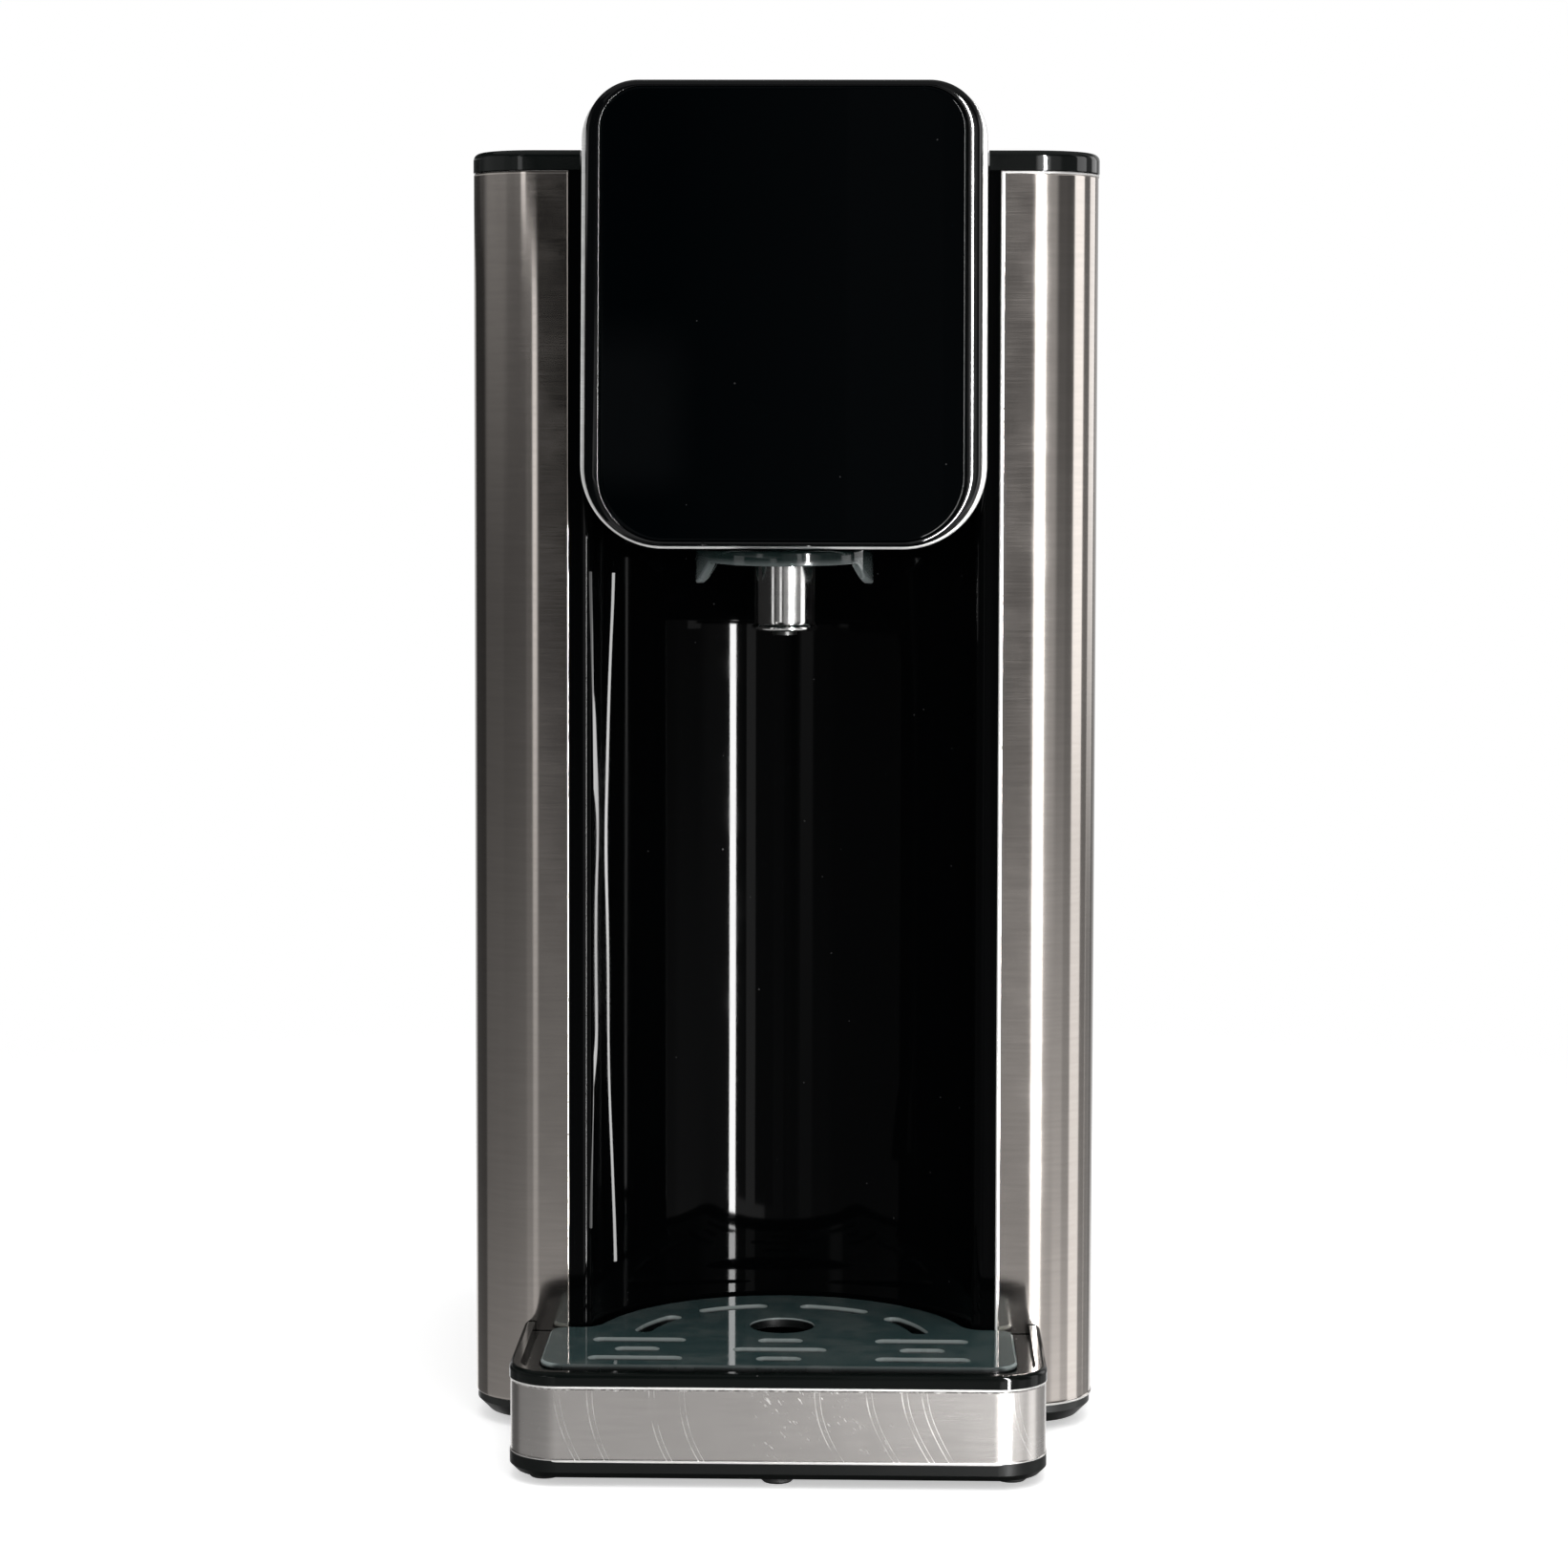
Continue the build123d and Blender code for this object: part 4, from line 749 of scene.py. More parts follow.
CAD_FINISH = {
    "brushed_steel": PANEL_STEEL,
    "gloss_black": PIANO_BLACK,
    "satin_black": SatinPlastic("satin_black_plastic", (0.009, 0.0105, 0.0095)),
    "bright_trim": TRIM_PAINTED_HIGHLIGHT,
    "control_glass": TOUCH_GLASS,
    "smoked_collar": SMOKED,
    "spout_steel": SPOUT_POLISH,
    "grille_slate": SLATE,
    "tank_clear": ClearPlastic("tank_clear_plastic", (0.80, 0.84, 0.86)),
    "rubber": SatinPlastic("black_rubber", (0.012, 0.012, 0.012), 0.75, 2e-5),
    "silicone": SatinPlastic("milky_silicone", (0.52, 0.53, 0.52), 0.5),
    "white_plastic": SatinPlastic("white_moulding", (0.56, 0.56, 0.54), 0.4),
    "board_green": CircuitBoard("board_lacquer"),
    "component_grey": SatinPlastic("component_moulding", (0.05, 0.05, 0.055), 0.45),
    "cast_aluminium": BareMetal("cast_aluminium_skin", (0.62, 0.62, 0.63), 0.38, 2e-5),
    "zinc_steel": BareMetal("zinc_plate", (0.58, 0.58, 0.57), 0.28),
    "brass": BareMetal("plain_brass", (0.72, 0.53, 0.24), 0.22),
}
NODE_FINISH = {"tray_tub": TRAY_BLACK, "top_cover": COVER_BLACK, "spout_insert": CAD_FINISH["satin_black"]}


def dress(piece: bpy.types.Object, finish: Finish) -> None:
    """Give an object one finish all over."""
    piece.data.materials.clear()
    piece.data.materials.append(finish.material())


def place(piece: bpy.types.Object, body: Body, slot: Slot, finish: Finish, node: str) -> None:
    """Dress a new piece, tie it to its body and let it stand for a CAD node.

    Args:
        piece: the new object.
        body: body that it rides on.
        slot: slot of the record that it belongs to; not used.
        finish: finish that it gets.
        node: CAD node that it replaces.
    """
    dress(piece, finish)
    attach(piece, body.value)
    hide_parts(node)
    LOG.info("%s: %d faces, rides on %s, stands for %s", piece.name, len(piece.data.polygons), body.value, node)


# Sub-assemblies, in millimetres


@dataclass
class Columns:
    """Steel skins of the two columns, with rolled edges."""

    half_width: float = 80.0
    inner_x: float = 54.35
    front_y: float = -69.0
    back_y: float = 43.0
    corner_r: float = 18.0
    rear_r: float = 1.4
    turn_in_x: float = 76.0
    thickness: float = 0.8
    low_z: float = 6.8
    high_z: float = 320.8
    gap: float = 0.2

    def path(self) -> np.ndarray:
        """Middle line of the right skin in plan: front, round corner, side, small rear corner, turn-in."""
        half, gap = self.thickness / 2, self.gap
        x1, y0, y1 = self.half_width - half, self.front_y + half, self.back_y - half
        r, q = self.corner_r - half, self.rear_r - half
        return np.concatenate(
            [
                spaced((self.inner_x + half, y0), (x1 - r - gap, y0), 6),
                arc(x1 - r, y0 + r, r, -90, 0, 60),
                spaced((x1, y0 + r + gap), (x1, y1 - q - gap), 8),
                arc(x1 - q, y1 - q, q, 0, 90, 8),
                spaced((x1 - q - gap / 2, y1), (self.turn_in_x + half, y1), 3),
            ]
        )

    def make(self) -> None:
        """Build both skins."""
        right = self.path()
        for name, side in (("right_steel_panel", 1.0), ("left_steel_panel", -1.0)):
            sheet = sheet_along(right * np.array([side, 1.0]), self.thickness / 2, self.low_z, self.high_z)
            place(build(name + "_skin", sheet), Body.HOUSING, Slot.STEEL, PANEL_STEEL, name)


@dataclass
class ControlHead:
    """Front of the control head: bright ring, tapering frame and touch glass on a leaning face.

    The radii are those of the lower and of the upper corners. Depths count from the face backwards.
    """

    tilt: float = 4.0
    face_y: float = -83.0
    bottom_z: float = 226.0
    top_z: float = 343.0
    rim: float = 10.0
    trim: float = 1.4
    ring_out: float = 1.1
    ring_in: float = 4.5
    edge_bulge: float = 0.5
    glass_depth: float = 3.0
    glass_edge: float = 0.9
    pane_half: float = 45.65
    pane_margin: float = 2.0
    pane_radii: Plan = (16.4, 10.6)
    foot_half: float = 49.9
    foot_low: float = 0.9
    foot_drop: float = 1.35
    low_growth: float = 0.85
    foot_radii: Plan = (20.0, 13.4)
    lip_start: Plan = (0.2, 0.42)
    lip_r: float = 8.0
    shoulder_r: float = 2.24
    flank_out: float = 4.5

    def loop(self, half: float, low: float, high: float, radii: np.ndarray, depth: float) -> np.ndarray:
        """Rounded outline at a depth behind the leaning face.

        The outline is four straight sides joined by quarter circles. A point is the face's middle
        plus x along X, s along the face's slope and minus the depth along its normal.

        Args:
            half: half of the width.
            low: height of the lower edge.
            high: height of the upper edge.
            radii: radius of the lower and of the upper corners.
            depth: depth behind the face.

        Returns:
            Closed loop of points.
        """
        lean = math.radians(self.tilt)
        middle = (self.bottom_z + self.top_z) / 2
        level = middle - depth * math.sin(lean)
        s0, s1 = (low - level) / math.cos(lean), (high - level) / math.cos(lean)
        low_r, high_r = radii
        corners = [
            arc(half - low_r, s0 + low_r, low_r, -90, 0, 24),
            arc(half - high_r, s1 - high_r, high_r, 0, 90, 24),
            arc(high_r - half, s1 - high_r, high_r, 90, 180, 24),
            arc(low_r - half, s0 + low_r, low_r, 180, 270, 24),
        ]
        outline = []
        for number, corner in enumerate(corners):
            outline += [spaced(corners[number - 1][-1], corner[0], 14)[1:-1], corner]
        x, s = np.concatenate(outline).T[..., None]
        up = np.array([0.0, math.sin(lean), math.cos(lean)])
        out = np.array([0.0, -math.cos(lean), math.sin(lean)])
        return np.array([0.0, self.face_y, middle]) + x * np.array([1.0, 0.0, 0.0]) + s * up - depth * out

    def base(self, grow: float, depth: float) -> np.ndarray:
        """Outline of the foot of the frame, grown all round but not over the top."""
        low, high = self.bottom_z + self.foot_low - self.low_growth * grow, self.top_z + min(grow, 0.0)
        return self.loop(self.foot_half + grow, low, high, np.array(self.foot_radii) + grow, depth)

    def pane(self, grow: float, depth: float) -> np.ndarray:
        """Outline of the glass, grown all round."""
        margin = self.pane_margin - grow
        low, high = self.bottom_z + margin, self.top_z - margin
        return self.loop(self.pane_half + grow, low, high, np.array(self.pane_radii) + grow, depth)

    def between(self, out: float, depth: float) -> np.ndarray:
        """Outline at a distance outside the glass, on the way to the foot of the frame."""
        share = out / (self.foot_half - self.pane_half)
        low = self.bottom_z + self.pane_margin - self.foot_drop * share
        high = self.top_z - self.pane_margin * max(1 - share, 0.0)
        radii = np.array(self.pane_radii) * (1 - share) + np.array(self.foot_radii) * share
        return self.loop(self.pane_half + out, low, high, radii, depth)

    def bend(self, start: Plan, radius: float, first: float, last: float, steps: int) -> np.ndarray:
        """Arc that leaves a point at one slope and ends at another, in degrees."""
        slope = math.radians(first)
        x, depth = start
        return arc(x - radius * math.sin(slope), depth + radius * math.cos(slope), radius, first - 90, last - 90, steps)

    def frame_profile(self) -> np.ndarray:
        """Distance outside the glass and depth behind the face, from the glass out to the foot.

        A wide flat arc for the lip beside the glass, a tight arc for the shoulder and a straight flank.
        """
        lip = self.bend(self.lip_start, self.lip_r, 3, 18, 8)
        shoulder = self.bend(lip[-1], self.shoulder_r, 18, 78, 14)[1:]
        flank = spaced(shoulder[-1], (self.flank_out, self.rim - 0.4), 6)[1:]
        toe = [[self.flank_out - 0.02, self.rim - 0.15], [self.flank_out - 0.2, self.rim]]
        return np.concatenate([lip, shoulder, flank, toe])

    def frame_surface(self) -> Surface:
        """Loops from beside the glass over the lip, the shoulder and the flank to the foot and back inside."""
        loops = [self.between(out, depth) for out, depth in self.frame_profile()]
        seat, clear = self.glass_depth + 0.1, 0.12
        loops.append(self.base(-2.0, self.rim))
        inside = [(-3.0, self.rim - 0.1), (-3.0, seat + 0.1), (-2.9, seat), (clear, seat), (clear, 0.7)]
        loops += [self.pane(grow, depth) for grow, depth in inside]
        return Surface(np.stack(loops), wrap_rows=True, wrap_columns=True)

    def ring_surface(self) -> Surface:
        """Loops round a flat ring whose outer edge is a half circle."""
        half, back = self.trim / 2, self.rim + self.trim
        loops = [self.base(-self.ring_in, back), self.base(-1.0, back)]
        for angle in np.radians(np.linspace(-90, 90, 11)):
            grow = self.ring_out - self.edge_bulge * (1 - math.cos(angle))
            loops.append(self.base(grow, self.rim + half - half * math.sin(angle)))
        loops += [self.base(-1.0, self.rim), self.base(-self.ring_in, self.rim)]
        return Surface(np.stack(loops), wrap_rows=True, wrap_columns=True)

    def glass_surface(self) -> Surface:
        """Loops from the middle of the back, round the polished edge, to the middle of the front."""
        edge, depth = self.glass_edge, self.glass_depth
        loops = [self.pane(0.0, depth), self.pane(0.0, depth - 0.4), self.pane(0.0, edge)]
        for angle in np.radians(np.linspace(12, 90, 8)):
            loops.append(self.pane(-edge * (1 - math.cos(angle)), edge * (1 - math.sin(angle))))
        front, back = self.pane(-edge - 0.4, 0.0), self.pane(-0.3, depth)
        share = np.linspace(0.0, 1.0, 5)[:, None, None]
        loops += list(front + (front.mean(0) - front) * share)
        inner = list(back.mean(0) + (back - back.mean(0)) * share)
        return Surface(np.stack(inner + loops), wrap_columns=True)

    def make(self) -> None:
        """Build the ring, the frame and the glass."""
        ring = build("head_trim_ring", self.ring_surface())
        place(ring, Body.HOUSING, Slot.TRIM, TRIM_PAINTED_HIGHLIGHT, "head_trim")
        front = build("head_front_frame", self.frame_surface())
        place(front, Body.HOUSING, Slot.GLOSS, FRAME_BLACK, "head_frame")
        glass = build("head_touch_glass", self.glass_surface())
        place(glass, Body.HOUSING, Slot.GLASS, TOUCH_GLASS, "control_glass")


@dataclass
class Spout:
    """Polished spout with a rolled rim inside a smoked collar."""

    y: float = -59.0
    radius: float = 7.7
    bore: float = 6.0
    tip_z: float = 204.7
    top_z: float = 236.0
    flange_r: float = 11.0
    flange_z: float = 228.6
    flange_height: float = 2.0
    rim_r: float = 0.75
    mouth_r: float = 0.7
    collar_r: float = 22.6
    collar_wall: float = 2.1
    collar_top: float = 225.5
    collar_tip: float = 216.8
    collar_band: float = 222.2
    claw_width: float = 3.9
    edge_r: float = 0.42
    neck_r: float = 15.0
    neck_rise: float = 0.9
    plate: float = 1.8
    plate_edge: float = 0.6
    plate_gap: float = 0.2
    arch_half: float = 18.6
    arch_drop: float = 0.5
    claw_power: float = 1.4
    tube_steps: int = 96
    collar_steps: int = 240

    def tube_profile(self) -> np.ndarray:
        """Radius and height: bore, mouth, rolled rim, neck of the rim, wall and flange."""
        r, tip, low, high = self.radius, self.tip_z, self.flange_z, self.flange_z + self.flange_height
        bevel = 0.1
        wall = [[r, z] for z in (tip + 2.1, tip + 2.6, low - 1.0, low - bevel)]
        flange = [
            [r + bevel, low], [self.flange_r - bevel, low], [self.flange_r, low + bevel],
            [self.flange_r, high - bevel], [self.flange_r - bevel, high], [r + bevel, high], [r, high + bevel],
        ]
        parts = [
            [[self.bore, self.top_z], [self.bore, tip + 1.2]],
            arc(self.bore + self.mouth_r, tip + self.mouth_r, self.mouth_r, 180, 270, 6),
            arc(r - 0.05, tip + self.rim_r, self.rim_r, -90, 60, 12),
            wall,
            flange,
            [[r, self.top_z]],
        ]
        return np.concatenate([np.asarray(part, float) for part in parts])

    def collar_surface(self) -> Surface:
        """Profile of the collar's wall and top plate, turned about the spout.

        The lower edge is a shallow arch between two pointed claws at the sides: its height rises
        from the tip with a power of the distance from the side.
        """
        angle = np.linspace(0, 2 * np.pi, self.collar_steps, endpoint=False)
        side = np.abs(self.collar_r * np.sin(angle))
        away = np.clip((self.collar_r - side) / self.claw_width, 0.0, 1.0)
        crown = self.collar_band - self.arch_drop * (1 - np.clip(side / self.arch_half, 0, 1) ** 2)
        low = (self.collar_tip + (crown - self.collar_tip) * away**self.claw_power)[:, None]
        outer, inner, edge = self.collar_r, self.collar_r - self.collar_wall, self.edge_r
        hole, top, bevel = self.radius + self.plate_gap, self.collar_top, self.plate_edge
        under, neck = top - self.plate, top + self.neck_rise
        fixed = np.array(
            [
                [inner, under - bevel / 2], [inner - bevel / 2, under], [hole, under], [hole, neck],
                [self.neck_r, neck], [self.neck_r, top], [outer - bevel, top],
                [outer - 0.3 * bevel, top - 0.3 * bevel], [outer, top - bevel],
            ]
        )
        turn = np.radians(np.linspace(0, 180, 13))
        half = self.collar_wall / 2
        across = np.sign(np.cos(turn)) * np.maximum(half - edge, 0) + edge * np.cos(turn)
        drop = np.concatenate([[edge + 1.2], edge * (1 - np.sin(turn)), [edge + 0.3]])
        radius = np.concatenate([fixed[:, 0], [outer], inner + half + across, [inner]])
        upper = np.broadcast_to(fixed[:, 1], (self.collar_steps, len(fixed)))
        height = np.concatenate([upper, low + drop], axis=1)
        # Mark of the lower edge, strongest at the claws, where the collar's finish paints a light highlight.
        claw = np.sqrt(1 - away)
        mark = np.zeros(height.shape)
        mark[:, len(fixed)] = 0.45 * claw
        mark[:, len(fixed) + 1 : -1] = 0.3 + 0.5 * claw[:, None]
        return lathe(radius, height, self.y, self.collar_steps, mark)

    def make(self) -> None:
        """Build the tube and the collar."""
        tube = build("spout_polished_tube", lathe(*self.tube_profile().T, self.y, self.tube_steps))
        place(tube, Body.HOUSING, Slot.SPOUT, SPOUT_POLISH, "spout_tube")
        collar = build("spout_smoked_collar", self.collar_surface())
        place(collar, Body.HOUSING, Slot.COLLAR, SMOKED, "spout_shroud")


@dataclass
class DripTray:
    """Steel band round the front of the drip tray."""

    half_width: float = 65.8
    front_y: float = -122.0
    back_y: float = -71.6
    corner_r: float = 13.2
    thickness: float = 0.8
    low_z: float = 6.0
    high_z: float = 24.8
    gap: float = 0.2

    def path(self) -> np.ndarray:
        """Middle line of the band in plan: side, round corner, front, round corner, side."""
        half, gap = self.thickness / 2, self.gap
        x1, y0, r = self.half_width - half, self.front_y + half, self.corner_r - half
        back, corner = self.back_y - half, y0 + r + gap
        return np.concatenate(
            [
                spaced((-x1, back), (-x1, corner), 6),
                arc(r - x1, y0 + r, r, 180, 270, 40),
                spaced((r + gap - x1, y0), (x1 - r - gap, y0), 24),
                arc(x1 - r, y0 + r, r, 270, 360, 40),
                spaced((x1, corner), (x1, back), 6),
            ]
        )

    def make(self) -> None:
        """Build the band."""
        band = build("tray_steel_band", sheet_along(self.path(), self.thickness / 2, self.low_z, self.high_z))
        place(band, Body.TRAY, Slot.STEEL, BAND_STEEL, "tray_band")


def dress_cad_nodes() -> None:
    """Give every CAD node the finish of its slot, or its own where it has one."""
    for row in frame["record"]["subparts"]:
        node, slot = row["node"], row["material_slot"]
        dress(frame["nodes"][node], NODE_FINISH.get(node, CAD_FINISH[slot]))
    LOG.info("dressed %d CAD nodes", len(frame["nodes"]))


# Studio. Directions are in degrees about Z, from the front towards the right; heights are in metres.

# Light low on the surround's wall, by height, and the share of it that each direction gets.
LOW_LIGHT: Stops = (
    (-0.9, 0.85), (-0.6, 0.62), (-0.37, 0.3), (-0.3, 0.27), (-0.15, 0.2), (0.0, 0.12), (0.15, 0.07),
    (0.3, 0.04), (0.5, 0.025), (1.2, 0.012),
)
LOW_SHARE: Stops = (
    (-180, 0.9), (-150, 0.9), (-142, 0.12), (-108, 0.1), (-104, 0.27), (-64, 0.3), (-28, 0.35),
    (-25, 0.45), (-16.8, 0.45), (-15.8, 0.2), (-9.2, 0.2), (-8.2, 0.55), (-4, 0.55), (0, 0.3), (28, 0.3),
    (44, 0.25), (50, 1.0), (62, 1.0), (66, 0.68), (78, 0.68), (80, 0.3), (100, 0.3), (102, 0.35),
    (117, 0.3), (120, 0.15), (142, 0.15), (150, 0.9), (180, 0.9),
)
# Upright strips of light on the wall, by direction.
STRIPS: Stops = (
    (-180, 0.25), (-150, 0.25), (-142, 0.0), (-138, 0.015), (-108, 0.015), (-104, 0.04), (-67, 0.04),
    (-64, 0.03), (-28, 0.03), (-25, 0.05), (-16.8, 0.05), (-15.8, 0.62), (-9.2, 0.62), (-8.2, 0.0),
    (-4, 0.0), (0, 0.1), (10, 0.12), (11.5, 1.0), (27.5, 1.0), (29, 0.23), (44, 0.21), (50, 0.03),
    (78, 0.04), (80, 0.95), (100, 0.95), (102, 0.1), (117, 0.1), (119.5, 0.8), (138, 0.8), (140, 0.08),
    (150, 0.25), (180, 0.25),
)
# Extra light high up on the left, and light taken away just left of the front.
HIGH_LEFT: Stops = (
    (-180, 0.0), (-112, 0.0), (-98, 0.1), (-62, 0.1), (-56, 0.06), (-18, 0.03), (-14, 0.0), (180, 0.0),
)
LEFT_SHADE: Stops = ((-180, 0.0), (-8.6, 0.0), (-8.2, 0.031), (-4, 0.031), (-3.4, 0.0), (180, 0.0))

# Cards in millimetres: name, two ends in plan, lower and upper edge, level or levels low down and higher up.
CARDS: tuple[tuple, ...] = (
    ("flag_near", (15.0, -200.0), (42.0, -200.0), (15.0, 420.0), (0.27,)),
    ("flag_far", (57.0, -200.0), (76.0, -200.0), (15.0, 420.0), (0.38, 0.13)),
    ("spout_shade", (-20.0, -56.0), (-20.0, -80.6), (200.0, 227.0), (0.02,)),
    ("spout_light", (-20.0, -81.2), (-20.0, -87.4), (201.0, 226.0), (0.9,)),
    ("spout_gap", (-20.0, -88.0), (-20.0, -95.0), (201.0, 226.0), (0.02,)),
    ("spout_edge", (20.0, -66.7), (20.0, -72.3), (201.0, 226.0), (1.6,)),
    ("frame_shade", (-52.0, -79.8), (-52.0, -94.0), (226.0, 345.0), (0.004,)),
)
# Ribbons beside the bay's left wall: height and the two edges along Y, from top to bottom, in millimetres.
RIBBON_X = -41.0
WALL_COURSE: tuple[Point, ...] = (
    (219, -55.0, -54.4), (191, -56.0, -55.5), (162, -56.4, -56.0), (148, -56.7, -56.2), (125, -56.2, -55.8),
    (89, -56.1, -55.75), (57, -55.2, -54.6), (40, -54.7, -54.0),
)
LIP_COURSE: tuple[Point, ...] = (
    (219.5, -71.5, -65.6), (192, -65.3, -58.4), (164, -58.1, -57.5), (157, -57.5, -57.1), (145, -58.1, -57.5),
    (130, -58.5, -57.9), (90, -58.2, -57.6), (57, -70.0, -64.4), (50, -70.0, -64.4),
)


@dataclass
class Studio:
    """Camera, floor, light and the surround that the gloss and the metal mirror."""

    eye: Point = (0.02188, -1.01435, 0.25468)
    turn: float = 1.318
    pitch: float = 3.2
    roll: float = 0.137
    lens: float = 86.0
    shift: float = -0.0895
    ambient: float = 0.65
    overhead: float = 12.0
    strip: float = 6.1
    floor_r: float = 0.62
    floor_lift: float = 0.5
    floor_tone: Colour = (0.92, 0.92, 0.92)
    surround_r: float = 2.2
    surround_low: float = -0.9
    surround_high: float = 2.4
    surround_gain: float = 2.0
    well_r: float = 0.9

    def camera(self) -> None:
        """Camera at the photograph's viewing angle."""
        data = bpy.data.cameras.new("camera")
        data.lens = self.lens
        data.sensor_width = 36.0
        data.shift_y = self.shift
        data.clip_start = 0.01
        view = bpy.data.objects.new("camera", data)
        view.location = self.eye
        aim = Euler((math.radians(90 - self.pitch), 0.0, math.radians(self.turn))).to_matrix()
        view.rotation_euler = (aim @ Matrix.Rotation(math.radians(self.roll), 3, "Z")).to_euler()
        bpy.context.scene.collection.objects.link(view)
        bpy.context.scene.camera = view

    def world(self) -> None:
        """White wherever it is seen, mirrored or looked through to, and an even glow for all else."""
        world = bpy.data.worlds.new("studio")
        bpy.context.scene.world = world
        world.use_nodes = True
        graph = Graph(world.node_tree)
        rays = graph.add("ShaderNodeLightPath")
        seen = graph.read(rays, "Is Camera Ray").most(graph.read(rays, "Is Glossy Ray"))
        seen = seen.most(graph.read(rays, "Is Transmission Ray"))
        glow, white = (
            graph.add("ShaderNodeBackground", {"Color": (1.0, 1.0, 1.0, 1.0), "Strength": strength})
            for strength in (self.ambient, 1.0)
        )
        graph.add("ShaderNodeOutputWorld", {"Surface": graph.add("ShaderNodeMixShader", {0: seen, 1: glow, 2: white})})

    def disc(self, name: str, inner: float, outer: float, height: float, rings: int, steps: int) -> bpy.types.Object:
        """Level round disc or ring: radius times cosine and sine of an angle.

        Args:
            name: name of the piece.
            inner: inner radius.
            outer: outer radius.
            height: height of the disc.
            rings: number of circles of points.
            steps: number of points on each.

        Returns:
            The new object.
        """
        radius = np.linspace(inner, outer, rings)[:, None] / MM
        angle = np.linspace(0, 2 * np.pi, steps, endpoint=False)
        points = np.broadcast_arrays(radius * np.cos(angle), radius * np.sin(angle), height / MM)
        return build(name, Surface(np.stack(points, -1), wrap_columns=True))

    def tree(self, piece: bpy.types.Object, name: str) -> Graph:
        """Graph of a new material that is given to a piece of the studio."""
        material = bpy.data.materials.new(name)
        material.use_nodes = True
        piece.data.materials.append(material)
        return Graph(material.node_tree)

    def floor(self) -> None:
        """Round pale floor that fades out towards its edge."""
        disc = self.disc("floor", 0.0, self.floor_r, 0.0, 24, 96)
        graph = self.tree(disc, "pale_floor")
        distance = graph.vector("LENGTH", graph.object_place(), output="Value")
        fade = graph.remap(distance, 0.3 * self.floor_r, 0.98 * self.floor_r)
        diffuse = graph.add("ShaderNodeBsdfDiffuse", {"Color": (*self.floor_tone, 1.0)})
        seen = graph.read(graph.add("ShaderNodeLightPath"), "Is Camera Ray")
        lift = graph.add("ShaderNodeEmission", {"Strength": seen * self.floor_lift})
        pale = graph.add("ShaderNodeAddShader", {0: diffuse, 1: lift})
        mix = graph.add("ShaderNodeMixShader", {0: fade, 1: pale, 2: graph.add("ShaderNodeBsdfTransparent")})
        graph.add("ShaderNodeOutputMaterial", {"Surface": mix})
        disc.visible_glossy = False

    def ramp(self, graph: Graph, value: Value, stops: Stops) -> Value:
        """A level that follows a list of places and levels.

        Args:
            graph: tree to build in.
            value: place to look up.
            stops: place and level of each stop, in order.

        Returns:
            Level at that place.
        """
        low, high = stops[0][0], stops[-1][0]
        share = graph.read(graph.add("ShaderNodeMapRange", {0: value, 1: low, 2: high}))
        node = graph.add("ShaderNodeValToRGB", {0: share})
        ramp = node.color_ramp
        ramp.interpolation = "LINEAR"
        while len(ramp.elements) < len(stops):
            ramp.elements.new(0.5)
        for element, (at, level) in zip(ramp.elements, stops):
            element.position = (at - low) / (high - low)
            element.color = (level, level, level, 1.0)
        return graph.read(graph.add("ShaderNodeRGBToBW", {0: node}))

    def mirror_only(self, piece: bpy.types.Object, graph: Graph, strength: Value | float) -> None:
        """Let a piece of the studio shine at a strength, and leave it to mirrors alone."""
        graph.add("ShaderNodeOutputMaterial", {"Surface": graph.add("ShaderNodeEmission", {"Strength": strength})})
        piece.visible_camera = False
        piece.visible_diffuse = False
        piece.visible_transmission = False
        piece.visible_shadow = False

    def surround(self) -> None:
        """Dim round wall that only mirrors see: lighter low down, with upright strips of light.

        The strips on the left bend over high up. They fade towards the bottom on the left, at the
        far right and behind.
        """
        angle = np.linspace(-np.pi, np.pi, 120, endpoint=False)
        rows = np.linspace(self.surround_low, self.surround_high, 12)[:, None] / MM
        radius = self.surround_r / MM
        points = np.broadcast_arrays(radius * np.sin(angle), -radius * np.cos(angle), rows)
        wall = build("surround", Surface(np.stack(points, -1), wrap_columns=True))
        graph = self.tree(wall, "dim_surround")
        x, y, height = graph.axes(graph.object_place())
        turn = graph.math("DEGREES", graph.math("ARCTAN2", x, y * -1.0))
        left = graph.math("LESS_THAN", turn, 0.0)
        bend = graph.remap(height, 0.375, 0.455, 0.0, 18.0) * left
        strips = self.ramp(graph, (turn + bend).least(turn.most(-6.4)), STRIPS)
        behind = graph.remap(turn, 117.0, 120.0) * graph.remap(height, -0.2, 0.3, 0.85, 0.0)
        beside = graph.remap(turn, 70.0, 79.0) * graph.remap(height, -0.1, 0.12, 0.34, 0.0)
        lost = behind.most(beside).most(left * graph.remap(height, -0.32, 0.33, 0.65, 0.0))
        low = self.ramp(graph, height, LOW_LIGHT) * self.ramp(graph, turn, LOW_SHARE)
        total = low + strips * (1.0 - lost) - self.ramp(graph, turn, LEFT_SHADE)
        high_left = self.ramp(graph, turn, HIGH_LEFT) * graph.remap(height, 0.1, 0.52)
        spot = graph.remap(turn, -3.0, -4.0) * graph.remap(height, 0.49, 0.53, 0.0, 0.2)
        spot = spot * graph.remap(height, 0.6, 0.66, 1.0, 0.0)
        total = total.most(0.0) + (high_left + spot)
        upper = graph.remap(height, 0.9, 1.5, 1.0, 0.15)
        self.mirror_only(wall, graph, total * self.surround_gain * upper)

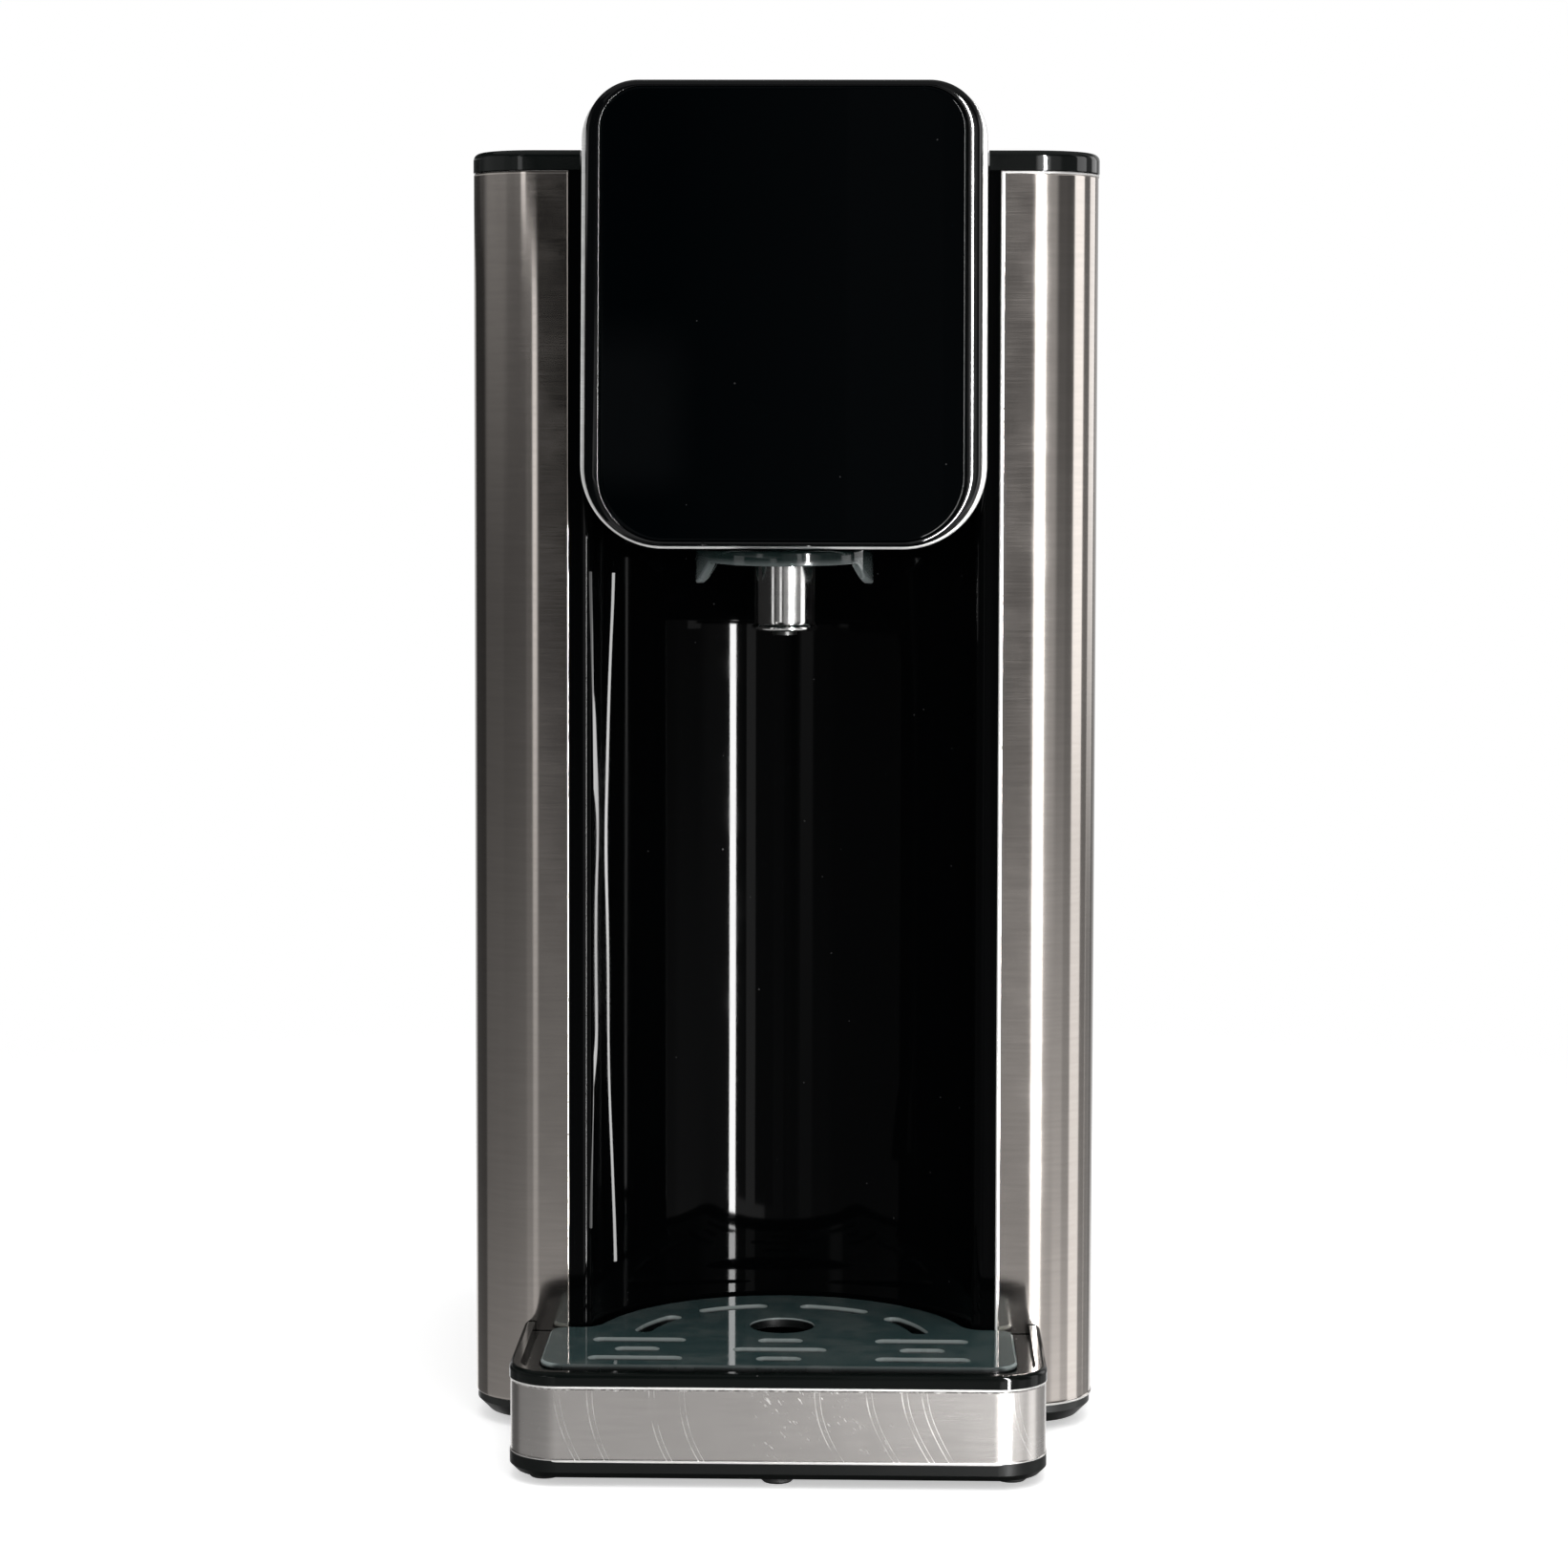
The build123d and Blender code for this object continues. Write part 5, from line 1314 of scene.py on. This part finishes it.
    def close_surround(self) -> None:
        """Discs under the surround, dark in the middle, and a dim one over it, for mirrors alone."""
        discs = (
            ("surround_well", 0.0, self.well_r, self.surround_low, 0.05),
            ("surround_ground", self.well_r, self.surround_r, self.surround_low, 0.42),
            ("surround_lid", 0.0, self.surround_r, self.surround_high, 0.2),
        )
        for name, inner, outer, height, level in discs:
            disc = self.disc(name, inner, outer, height, 4, 48)
            self.mirror_only(disc, self.tree(disc, name + "_glow"), level)

    def card(self, name: str, start: Plan, end: Plan, edges: Plan, levels: tuple[float, ...]) -> None:
        """Upright card between two points in plan, for mirrors alone.

        Args:
            name: name of the card.
            start: one end in plan, in millimetres.
            end: other end in plan.
            edges: height of its lower and of its upper edge.
            levels: level that it shines at, or its levels low down and higher up.
        """
        x, y = spaced(start, end, 4).T
        points = np.broadcast_arrays(x, y, np.linspace(*edges, 4)[:, None])
        piece = build(name, Surface(np.stack(points, -1)))
        graph = self.tree(piece, name + "_glow")
        strength = levels[0]
        if len(levels) > 1:
            strength = graph.remap(graph.axes(graph.object_place())[2], 40.0 * MM, 210.0 * MM, *levels)
        self.mirror_only(piece, graph, strength)

    def ribbon(self, name: str, course: tuple[Point, ...], level: float) -> None:
        """Slim upright ribbon that sways along its height and shines to one side, for mirrors alone.

        Its edges are the course's, joined by straight lines and smoothed by a running mean.

        Args:
            name: name of the ribbon.
            course: height, and the two edges along Y, from top to bottom.
            level: level that it shines at.
        """
        height, near, far = np.array(course)[::-1].T
        reach = 6
        mean = np.ones(2 * reach + 1) / (2 * reach + 1)
        z = np.linspace(height[0], height[-1], 90)
        edges = [np.pad(np.interp(z, height, side), reach, mode="edge") for side in (near, far)]
        y = np.stack([np.convolve(edge, mean, mode="valid") for edge in edges], 1)
        points = np.broadcast_arrays(RIBBON_X, y, z[:, None])
        piece = build(name, Surface(np.stack(points, -1)))
        graph = self.tree(piece, name + "_glow")
        behind = graph.read(graph.add("ShaderNodeNewGeometry"), "Backfacing")
        self.mirror_only(piece, graph, (1.0 - behind) * level)

    def lamp(self, name: str, at: Point, aim: Point, size: Plan, power: float) -> bpy.types.Object:
        """A rectangular light.

        Args:
            name: name of the light.
            at: its place.
            aim: point that it faces.
            size: width and height.
            power: power in watts.

        Returns:
            The light object.
        """
        data = bpy.data.lights.new(name, "AREA")
        data.shape = "RECTANGLE"
        data.size, data.size_y = size
        data.energy = power
        light = bpy.data.objects.new(name, data)
        light.location = at
        way = Vector(aim) - Vector(at)
        light.rotation_euler = way.to_track_quat("-Z", "Y").to_euler()
        light.visible_camera = False
        bpy.context.scene.collection.objects.link(light)
        return light

    def lights(self) -> None:
        """Large soft light from above, and a slim strip that only mirrors see."""
        top = self.lamp("overhead", (0.25, -0.5, 1.7), (0.0, 0.0, 0.1), (1.4, 1.4), self.overhead)
        top.visible_glossy = False
        strip = self.lamp("strip_right", (0.152, -0.321, 0.22), (0.0, -0.05, 0.22), (0.02, 0.56), self.strip)
        strip.visible_diffuse = False
        strip.visible_transmission = False

    def make(self) -> None:
        """Set up the whole studio: cards shade the bay and the spout, ribbons light the bay's wall."""
        self.camera()
        self.world()
        self.floor()
        self.surround()
        self.close_surround()
        for row in CARDS:
            self.card(*row)
        self.ribbon("wall_ribbon", WALL_COURSE, 25.0)
        self.ribbon("lip_ribbon", LIP_COURSE, 12.0)
        self.lights()
        bpy.context.scene.view_settings.view_transform = "Standard"


def main() -> None:
    """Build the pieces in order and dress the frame."""
    logging.basicConfig(level=logging.INFO, format="%(name)s: %(message)s")
    Studio().make()
    dress_cad_nodes()
    for assembly in (Columns(), ControlHead(), Spout(), DripTray()):
        assembly.make()


if __name__ == "__main__":
    main()
